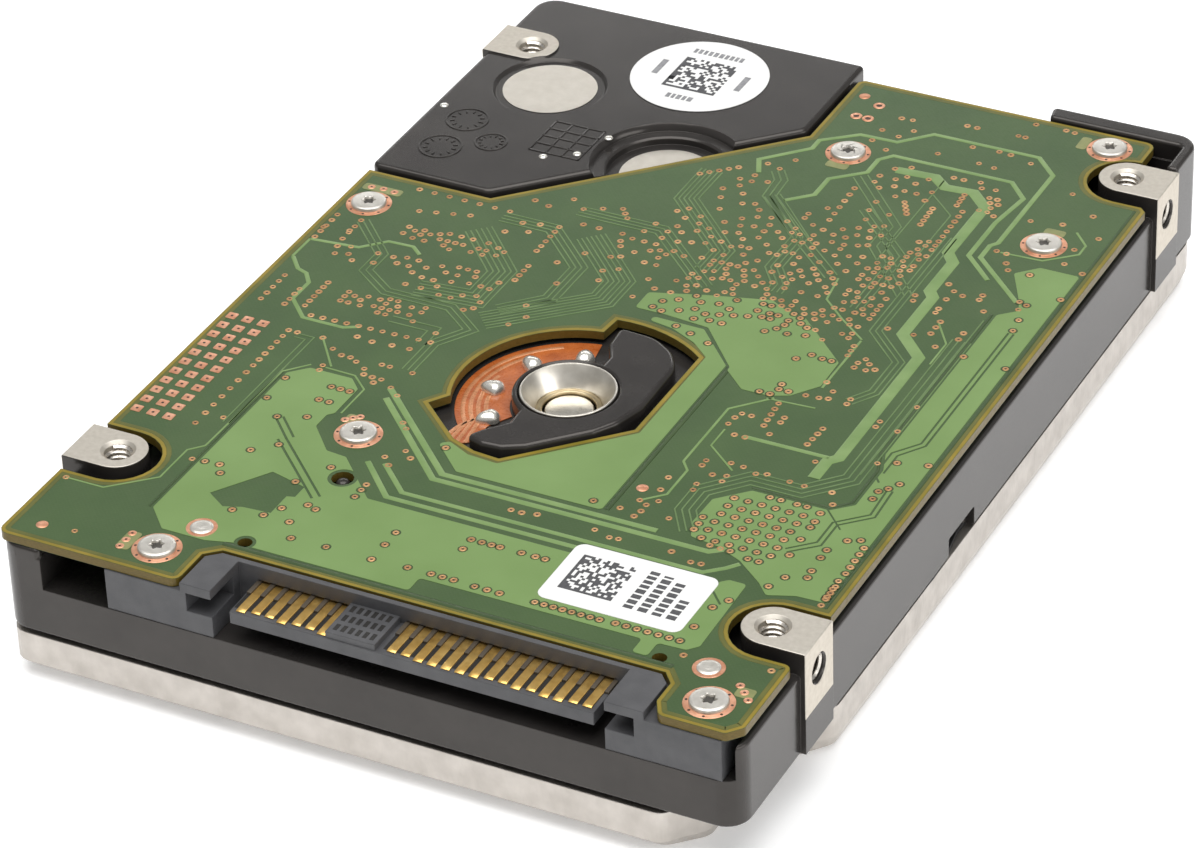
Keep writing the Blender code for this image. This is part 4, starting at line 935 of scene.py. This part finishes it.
def turned(centre, profile, steps=32, along_x=False):
    """A cutter turned about an upright axis, or about one parallel to X at the side holes' height."""
    shape = Shape()
    shape.lathe(centre, profile, steps)
    if along_x:
        cx, cy = centre
        shape.points = [(z, cy + x - cx, SIDE_HOLE_Z + y - cy) for x, y, z in shape.points]
    return shape.object("solid", None, None)


def cavity(grow=0.0, front=None):
    radius, x = 33.4 + grow, 32.6 + grow
    lead = math.degrees(math.acos(x / radius))
    if front is None:
        ends = arc(SPINDLE, radius, 180 - lead, 360 + lead, 72)
    else:
        stop = math.degrees(math.asin((SPINDLE[1] - front) / radius))
        ends = arc(SPINDLE, radius, 180 - lead, 180 + stop, 24) + arc(SPINDLE, radius, 360 - stop, 360 + lead, 24)
    shoulder = [(x, 36.4 + grow), (29.3 + 0.6 * grow, 36.4 + grow), (27.3 + grow, 39.0 + 0.4 * grow)]
    return (ends + shoulder + [(27.3 + grow, 47.6 + grow), (-27.3 - grow, 47.6 + grow)]
            + [(-px, py) for px, py in shoulder[::-1]])


def land_outline():
    land = rounded([
        (0.9, -6.0, 0.0), (-0.1, -4.1, 0.6), (-0.4, -1.2, 0.6), (3.3, -1.45, 3.6), (5.6, -2.9, 3.6), (6.95, -5.0, 3.6),
        (7.1, -11.8, 3.6), (6.2, -15.0, 2.6), (5.0, -16.9, 1.8), (0.6, -21.3, 0.8), (-1.2, -22.3, 0.8),
        (-3.1, -22.45, 0.8), (-4.9, -21.9, 0.6), (-4.1, -20.5, 0.5), (-2.4, -18.5, 0.0)], 5)
    return land + arc(SPINDLE, 4.95, 240, 80, 32)


def make_casting():
    """The black casting again, with the rounded edges that a die leaves and finer holes."""
    low, high = span("base_casting")
    x, y = 34.45, high.y
    mounts = [(sx, by) for sx in (-1, 1) for by in BOSS_Y]
    frame_outline = rounded([(-x, -y, 2.2), (x, -y, 2.2), (x, y, 2.2), (-x, y, 2.2)], 8)
    body = solid(frame_outline, low.z, 12.9, 0.4, 0.25)
    body.name = "black_casting"
    deck = [(-33.2, -45.0), (33.2, -45.0), (33.2, 48.0), (0.25, 48.0), (0.25, 36.6), (-22.05, 14.65), (-33.2, 14.65)]
    bay = rounded([(-30.2, -55.0, 0), (33.8, -55.0, 0), (33.8, -43.5, 0.8), (-30.2, -43.5, 0.8)])
    apply_boolean(body, "DIFFERENCE", solid(deck, 11.1, 18.0), solid(bay, 9.65, 18.0))
    plate = rounded([(-x, 14.8, 0.8), (-22.1, 14.8, 1.2), (0.15, 36.7, 1.2), (0.15, y, 0.5), (-x, y, 2.2)], 6)
    corner = rounded([(20.0, 48.2, 0.45), (33.3, 48.2, 0.5), (33.3, 43.9, 0.4), (x, 43.9, 0.4), (x, y, 2.2),
                      (19.6, y, 0.5)], 6)
    post = rounded([(-x, -y, 2.2), (-30.25, -y, 0.5), (-30.25, -45.6, 0), (-x, -45.6, 0)], 8)
    parts = [solid(plate, 9.0, PLATE_TOP, 0.45), solid(corner, 9.0, PLATE_TOP, 0.35), solid(post, 9.0, 13.6, 0.35)]
    for sx, by in mounts:
        outline = [(high.x, by + 2.65), (high.x, by - 2.65)] + arc((BOSS_X, by), 2.65, 270, 90, 24)
        outline = [(sx * px, py) for px, py in outline]
        parts.append(solid(outline if sx > 0 else outline[::-1], low.z + 0.07, PAD_TOP, 0.12))
    parts += [solid(circle(SPINDLE, 13.3, 72), 10.5, 13.2, 0.2), solid(circle(PIVOT, 6.3, 48), 10.5, 13.4, 0.3),
              solid(land_outline(), 12.9, PAD_TOP, 0.42)]
    parts += [solid(circle(spot, 2.2, 24), 10.7, 13.62, 0.3) for spot in BOARD_SCREWS[:5]]
    apply_boolean(body, "UNION", *parts)
    coil_bay = arc(PIVOT, 21.3, 85, 195, 24) + arc(PIVOT, 9.4, 195, 85, 24)
    cuts = [
        solid(cavity(), 1.0, 9.0), solid(cavity(-0.3, -42.4), 8.0, 10.1), solid(coil_bay, 8.4, 12.6),
        turned(SPINDLE, [(5.0, 9.0), (12.3, 9.0), (12.3, 12.2), (5.0, 12.2), (5.0, 9.0)], 64),
        turned(SPINDLE, [(0, 8.0), (2.5, 8.0), (2.5, 12.6), (4.45, 12.6), (4.45, 14.85), (4.75, 15.1), (4.75, 17.0),
                         (0, 17.0)], 64),
        turned(PIVOT, [(0, 9.0), (2.3, 9.0), (2.3, 13.38), (5.7, 13.38), (5.75, 13.95), (5.95, 14.1), (6.9, 14.12),
                       (7.0, 14.5), (7.5, 15.0), (7.5, 17.0), (0, 17.0)], 64),
        turned((-25.7, 34.3), [(0, 14.5), (5.2, 14.5), (5.3, 14.62), (5.7, 14.95), (5.7, 17.0), (0, 17.0)], 64),
        solid(rounded([(33.4, -8.8, 0.3), (40.0, -8.8, 0), (40.0, -3.3, 0), (33.4, -3.3, 0.3)]), 2.0, 7.0, 0.3),
    ]
    for i, spot in enumerate(BOARD_SCREWS):
        z0, z1 = (11.6, 15.0) if i < 5 else (7.5, 10.6)
        cuts.append(solid(circle(spot, 1.0, 16), z0, z1))
    cuts += [solid(circle(spot, 1.1, 16), 4.0, 8.0) for spot in CORNER_SCREWS]
    for sx, by in mounts:
        cuts.append(turned((sx * BOSS_X, by), [(0, 10.9), (1.25, 10.9), (1.25, 14.72), (2.0, 15.4), (0, 15.4)], 36))
        end = sx * 36.0
        cuts.append(turned((0.0, by), [(0, sx * 31.1), (1.25, sx * 31.1), (1.25, sx * 34.7), (1.6, sx * 35.1),
                                       (1.6, end), (0, end)], 36, True))
    apply_boolean(body, "DIFFERENCE", *cuts)
    body.data.shade_smooth()
    body.data.set_sharp_from_angle(angle=math.radians(32))
    weighted = body.modifiers.new("weighted_normals", "WEIGHTED_NORMAL")
    weighted.keep_sharp = True
    body.data.materials.clear()
    body.data.materials.append(casting.material)
    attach(body, "chassis")
    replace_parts(body, "base_casting")


def make_plate_marks():
    """A moulded grid and a dial of plain ticks in the plate, and four bright ejector spots."""
    marks, spots = Shape(), Shape()
    z0, z1 = PLATE_TOP - 0.02, PLATE_TOP + 0.07
    for i in range(4):
        marks.prism(box(-22.2 + 1.7 * i, -22.0 + 1.7 * i, 23.0, 28.8), z0, z1, 0.04)
    for j in range(5):
        marks.prism(box(-22.2, -16.9, 23.0 + 1.4 * j, 23.2 + 1.4 * j), z0, z1, 0.04)
    for cx, cy, r in ((-30.0, 25.6, 2.0), (-30.0, 20.2, 2.0), (-26.0, 22.8, 1.5)):
        marks.lathe((cx, cy), [(r - 0.13, z0), (r + 0.13, z0), (r + 0.09, z1), (r - 0.09, z1), (r - 0.13, z0)], 48)
        for k in range(12):
            a = math.radians(30 * k)
            c, s = math.cos(a), math.sin(a)
            marks.prism([(cx + u * c - v * s, cy + u * s + v * c) for u, v in box(r * 0.6, r * 0.82, -0.07, 0.07)], z0,
                        z1, 0.03)
    for x, y in ((-33.3, 27.1), (-16.2, 27.9), (-17.6, 24.1), (-20.3, 22.4)):
        spots.lathe((x, y), [(0.0, z0), (0.42, z0), (0.36, z1 + 0.02), (0.18, z1 + 0.06), (0.0, z1 + 0.07)], 20)
    marks.object("plate_mould_marks", casting, "coated_casting")
    spots.object("plate_ejector_spots", solder, "tin", smooth=60)


# ---- threads in the mounting holes ------------------------------------------------------------------


def make_threads():
    """A raised helix in each M3 hole, turned from its core radius inwards."""
    for index, (sx, y) in enumerate((sx, y) for sx in (-1, 1) for y in BOSS_Y):
        for kind in ("bottom", "side"):
            shape = Shape()
            turns, per, pitch = 6.4, 20, 0.5
            rings = []
            for k in range(int(turns * per) + 1):
                a = 2 * math.pi * k / per
                along = pitch * k / per
                section = ((1.246, -0.19), (1.02, -0.02), (1.02, 0.02), (1.246, 0.19))
                ring = []
                for r, dz in section:
                    if kind == "bottom":
                        ring.append((sx * BOSS_X + r * math.cos(a), y + r * math.sin(a), 11.35 + along + dz))
                    else:
                        ring.append((sx * (31.4 + along + dz), y + r * math.cos(a), 12.0 + r * math.sin(a)))
                rings.append(ring)
            shape.loft(rings)
            shape.object(f"thread_{kind}_{index + 1}", thread_metal, "bare_aluminium", smooth=50)


# ---- spindle motor ----------------------------------------------------------------------------------


def make_motor_details():
    low, high = span("bearing_cup")
    cup = Shape()
    cup.lathe(SPINDLE, [(2.9, low.z), (4.25, low.z), (4.32, low.z + 0.1), (4.32, high.z - 0.12), (4.26, high.z - 0.03),
                        (4.18, high.z), (4.10, high.z - 0.02), (4.02, high.z - 0.12), (3.45, 14.05), (2.96, 13.22),
                        (2.9, 13.1), (2.9, low.z)], 96)
    made = cup.object("turned_bearing_cup", cup_metal, "turned_steel")
    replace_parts(made, "bearing_cup")
    ledge = Shape()
    ledge.lathe(SPINDLE, [(2.36, low.z + 0.02), (2.89, low.z + 0.02), (2.89, 13.1), (2.8, 13.16), (2.55, 13.16),
                          (2.42, 13.1), (2.36, 12.98), (2.36, low.z + 0.02)], 96)
    ledge.object("bearing_ledge", ledge_metal, "turned_steel")
    low, high = span("spindle_shaft")
    shaft = Shape()
    shaft.lathe(SPINDLE, [(1.1, low.z), (2.12, low.z), (2.2, low.z + 0.1), (2.2, high.z - 0.22), (2.1, high.z - 0.06),
                          (1.95, high.z), (0.0, high.z), ], 96)
    shaft.lathe(SPINDLE, [(0.0, 3.6), (1.1, 3.6), (1.1, low.z)], 96)
    made = shaft.object("ground_spindle_shaft", shaft_metal, "turned_steel",
                        NODES["spindle_shaft"]["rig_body"])
    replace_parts(made, "spindle_shaft")


def make_flex():
    """The motor's flexible circuit: film, four soldered pads and the strips of its tail."""
    low, high = span("motor_flex")
    z = high.z
    outer, inner = arc(SPINDLE, 9.95, 100, 228, 32), arc(SPINDLE, 5.15, 100, 228, 32)
    tail = [(-6.6, -19.4), (-8.4, -20.6), (-7.4, -22.2), (-5.2, -20.6), (-4.9, -17.6)]
    shape = Shape()
    shape.prism(outer + tail + inner[::-1][1:], low.z, z - 0.03)
    made = shape.object("motor_flex_film", film, "polyimide")
    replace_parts(made, "motor_flex")
    strips = Shape()
    for k in range(4):
        radius = 9.25 - 0.68 * k
        path = arc(SPINDLE, radius, 120 + 24 * k, 221 - 1.5 * k, 14)
        end = (-7.7 + 0.72 * k, -21.3 + 0.15 * k)
        strips.ribbon(path + [(path[-1][0] - 0.3, path[-1][1] - 0.8 + 0.1 * k), end], 0.42, z - 0.04, 0.035)
    strips.object("motor_flex_strips", strip, "copper_wire")
    blobs = Shape()
    for angle in (106, 144, 184, 222):
        a = math.radians(angle)
        centre = Vector((SPINDLE[0] + 7.1 * math.cos(a), SPINDLE[1] + 7.1 * math.sin(a)))
        out = Vector((math.cos(a), math.sin(a)))
        side = Vector((-out.y, out.x))
        rings = []
        for scale, height in ((1.0, -0.02), (0.97, 0.2), (0.86, 0.44), (0.64, 0.64), (0.36, 0.78), (0.06, 0.83)):
            ring = []
            for k in range(28):
                t = 2 * math.pi * k / 28
                length = 1.3 if math.cos(t) > 0 else 0.95
                width = 0.88 * (1 - 0.15 * math.cos(t)) * (1 + 0.08 * math.sin(3 * t + angle))
                p = centre + out * (length * math.cos(t) * scale) + side * (width * math.sin(t) * scale)
                ring.append((p.x, p.y, z + height))
            rings.append(ring)
        blobs.loft(rings)
    made = blobs.object("motor_solder_joints", solder, "tin", smooth=60)


# ---- seals and labels -------------------------------------------------------------------------------


def wavy_disc(name, centre, radius, z0, z1, look, slot, node, waves, seed):
    """A thin disc with a rolled edge, whose face ripples slightly."""
    draw = random.Random(seed)
    phases = [draw.uniform(0, 6.28) for _ in range(6)]
    steps, rows = 64, 12
    rings = [[(x, y, z0) for x, y in circle(centre, radius - 0.02, steps)]]
    for k in range(rows):
        r = radius * (1 - k / rows)
        ring = []
        for i in range(steps):
            a = 2 * math.pi * i / steps
            x, y = r * math.cos(a), r * math.sin(a)
            lift = (math.sin(x * 1.1 + phases[0]) * math.sin(y * 0.9 + phases[1])
                    + 0.6 * math.sin(x * 2.3 - y + phases[2]))
            edge = 0.4 if k == 0 else 0.0
            ring.append((centre[0] + x, centre[1] + y, z1 - waves * (0.5 - 0.31 * lift + edge)))
        rings.append(ring)
    shape = Shape()
    shape.loft(rings)
    made = shape.object(name, look, slot)
    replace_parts(made, node)


def make_seals():
    for index in (1, 2):
        low, high = span(f"foil_seal_{index}")
        centre = tuple(((low + high) / 2)[:2])
        wavy_disc(f"foil_patch_{index}", centre, (high.x - low.x) / 2, low.z, high.z, foil, "foil",
                  f"foil_seal_{index}", 0.05, 20 + index)


def block_matrix(shape, x0, x1, y0, y1, cells, z, seed):
    """A generic square pattern of printed cells, filled by a seeded draw."""
    draw = random.Random(seed)
    dx, dy = (x1 - x0) / cells, (y1 - y0) / cells
    for j in range(cells):
        run = None
        for i in range(cells + 1):
            on = i < cells and (i == 0 or j == 0 or draw.random() < 0.52)
            if on and run is None:
                run = i
            if not on and run is not None:
                shape.prism(box(x0 + run * dx, x0 + i * dx, y0 + j * dy, y0 + (j + 1) * dy), z, z + 0.008)
                run = None


def make_labels():
    low, high = span("round_label")
    centre = tuple(((low + high) / 2)[:2])
    wavy_disc("round_paper_label", centre, (high.x - low.x) / 2, low.z, high.z - 0.012, paper, "paper", "round_label",
              0.012, 31)
    z = high.z - 0.014
    print_shape, bars = Shape(), Shape()
    cx, cy = centre
    block_matrix(print_shape, cx - 2.7, cx + 2.8, cy - 2.9, cy + 2.9, 18, z, 5)
    for (x0, x1, y0, y1) in ((-2.6, 2.6, 3.9, 4.7), (-1.4, 1.4, -4.8, -4.0)):
        draw = random.Random(int(10 * y0))
        x = x0
        while x < x1:
            w = draw.uniform(0.28, 0.5)
            bars.prism(box(cx + x, cx + min(x + w, x1), cy + y0, cy + y1), z, z + 0.007)
            x += w + 0.18
    for x0 in (-4.6, 4.1):
        bars.prism(box(cx + x0, cx + x0 + 0.6, cy - 1.2, cy + 1.6), z, z + 0.007)
    low, high = span("board_label")
    shape = Shape()
    corners = [(low.x, low.y, 0.9), (high.x, low.y, 0.9), (high.x, high.y, 0.9), (low.x, high.y, 0.9)]
    shape.prism(rounded(corners, 6), low.z, high.z - 0.012, 0.03)
    made = shape.object("board_paper_label", paper, "paper")
    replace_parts(made, "board_label")
    z = high.z - 0.012
    block_matrix(print_shape, 12.2, 17.1, -37.9, -32.9, 18, z, 9)
    draw = random.Random(13)
    for k, x in enumerate((18.3, 19.6, 20.9, 22.2)):
        y, end = -38.2, (-32.6, -32.9, -33.4, -35.4)[k]
        while y < end:
            h = draw.uniform(0.4, 0.62)
            print_shape.prism(box(x, x + 0.85, y, min(y + h, end)), z, z + 0.007)
            y += h + 0.22
    print_shape.object("label_print", ink, "paper")
    bars.object("label_grey_print", grey_ink, "paper")


# ---- connector --------------------------------------------------------------------------------------


def make_contacts():
    """Gold strips on the tongue, ribs and black strips between them, and the slots of the bridge between both rows.
    The ribs' brown, the black strips and the black slot patches are painted shade.
    """
    half, long_front, short_front = 0.41, -49.62, -49.35
    for name, node, first, count, longer in (
        ("signal_contact_strips", "signal_contacts", -11.08, 7, (0, 3, 6)),
        ("power_contact_strips", "power_contacts", 2.9, 15, (2, 3, 4, 5, 6, 9, 11, 12)),
    ):
        strips, ribs, gaps = Shape(), Shape(), Shape()
        for i in range(count):
            x = first + CONTACT_PITCH * i
            front = long_front if i in longer else short_front
            profile = [(-44.98, 12.76), (-45.6, 12.80), (-47.2, 12.84), (-49.0, 12.86), (front + 0.1, 12.84),
                       (front, 12.78)]
            rings = [[(x - half, y, 12.73), (x - half, y, z - 0.03), (x - half + 0.05, y, z), (x + half - 0.05, y, z),
                      (x + half, y, z - 0.03), (x + half, y, 12.73)] for y, z in profile]
            strips.loft(rings)
        for i in range(count + 1):
            x = first + CONTACT_PITCH * (i - 0.5)
            ribs.prism(box(x - 0.2, x + 0.2, -47.1, -45.2), 12.65, 12.93, 0.04)
            if i < count:
                gaps.prism(box(x - 0.19, x + 0.19, -49.15, -47.1), 12.66, 12.715)
        made = strips.object(name, gold, "gold")
        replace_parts(made, node)
        ribs.object(name.replace("strips", "ribs"), rib_painted_shade, "connector_plastic")
        gaps.object(name.replace("strips", "gaps"), gap_painted_shade, "connector_plastic")
    # The bridge's slots are flat black patches of painted shade.
    slots = Shape()
    for i in range(6):
        for j in range(3):
            x, y = -2.6 + 0.68 * i, -49.2 + 1.35 * j
            slots.prism(box(x, x + 0.38, y, y + 0.85), 13.28, 13.306)
    slots.object("tongue_bridge_slot_shade", gap_painted_shade, "connector_plastic")


make_casting()
make_plate_marks()
make_pours()
make_traces()
make_vias()
make_test_pads()
make_margins()
make_board_screws()
make_cover_screws()
make_locating_pin()
make_threads()
make_motor_details()
make_flex()
make_seals()
make_labels()
make_contacts()

# ---- floor, lights and camera -----------------------------------------------------------------------


def make_floor():
    """A large plain sheet with a little light of its own, so that the background stays white."""
    work = bmesh.new()
    bmesh.ops.create_grid(work, x_segments=2, y_segments=2, size=3.0)
    mesh = bpy.data.meshes.new("floor")
    work.to_mesh(mesh)
    work.free()
    look = Look("pale_floor", 0.0, 0.9)
    look.colour(look.mix(look.noise(0.002), (0.88, 0.88, 0.88), (0.90, 0.90, 0.90)))
    look.set(look.shader, "Emission Color", (1.0, 1.0, 1.0))
    look.set(look.shader, "Emission Strength", 0.28)
    mesh.materials.append(look.material)
    made = bpy.data.objects.new("floor", mesh)
    made.location.z = -0.0001
    bpy.context.scene.collection.objects.link(made)


def make_light(name, place, aim, size, power):
    data = bpy.data.lights.new(name, "AREA")
    data.shape, data.size, data.size_y, data.energy = "RECTANGLE", size[0], size[1], power
    made = bpy.data.objects.new(name, data)
    made.location = place
    made.rotation_euler = (Vector(aim) - Vector(place)).to_track_quat("-Z", "Y").to_euler()
    bpy.context.scene.collection.objects.link(made)


def make_camera():
    azimuth, elevation, roll = (math.radians(a) for a in (27.861, 33.316, -2.1))
    target, distance = Vector((-0.001754, -0.000664, 0.008)), 0.439965
    back = Vector((math.sin(azimuth) * math.cos(elevation), -math.cos(azimuth) * math.cos(elevation),
                   math.sin(elevation)))
    right = Vector((0, 0, 1)).cross(back).normalized()
    up = back.cross(right)
    right, up = (right * math.cos(roll) + up * math.sin(roll), up * math.cos(roll) - right * math.sin(roll))
    place = target + back * distance
    data = bpy.data.cameras.new("camera")
    data.sensor_width, data.lens = 36.0, 148.12248
    data.shift_x, data.shift_y = -0.0097192, -0.0315733
    data.clip_start, data.clip_end = 0.02, 20.0
    made = bpy.data.objects.new("camera", data)
    made.matrix_world = Matrix.Translation(place) @ Matrix((right, up, back)).transposed().to_4x4()
    bpy.context.scene.collection.objects.link(made)
    bpy.context.scene.camera = made


def make_world():
    world = bpy.data.worlds.new("studio")
    world.use_nodes = True
    background = world.node_tree.nodes["Background"]
    background.inputs["Color"].default_value = (1.0, 1.0, 1.0, 1.0)
    background.inputs["Strength"].default_value = 0.32
    bpy.context.scene.world = world
    bpy.context.scene.view_settings.view_transform = "Standard"


make_floor()
make_world()
make_light("overhead", (0.05, -0.1, 1.1), (0, 0, 0), (1.3, 1.1), 15.0)
make_light("right_strip", (0.9, -0.1, 0.35), (0, 0, 0.01), (0.7, 0.3), 2.0)
make_light("rear", (-0.35, 0.8, 0.35), (0, 0, 0), (0.8, 0.12), 1.0)
make_camera()
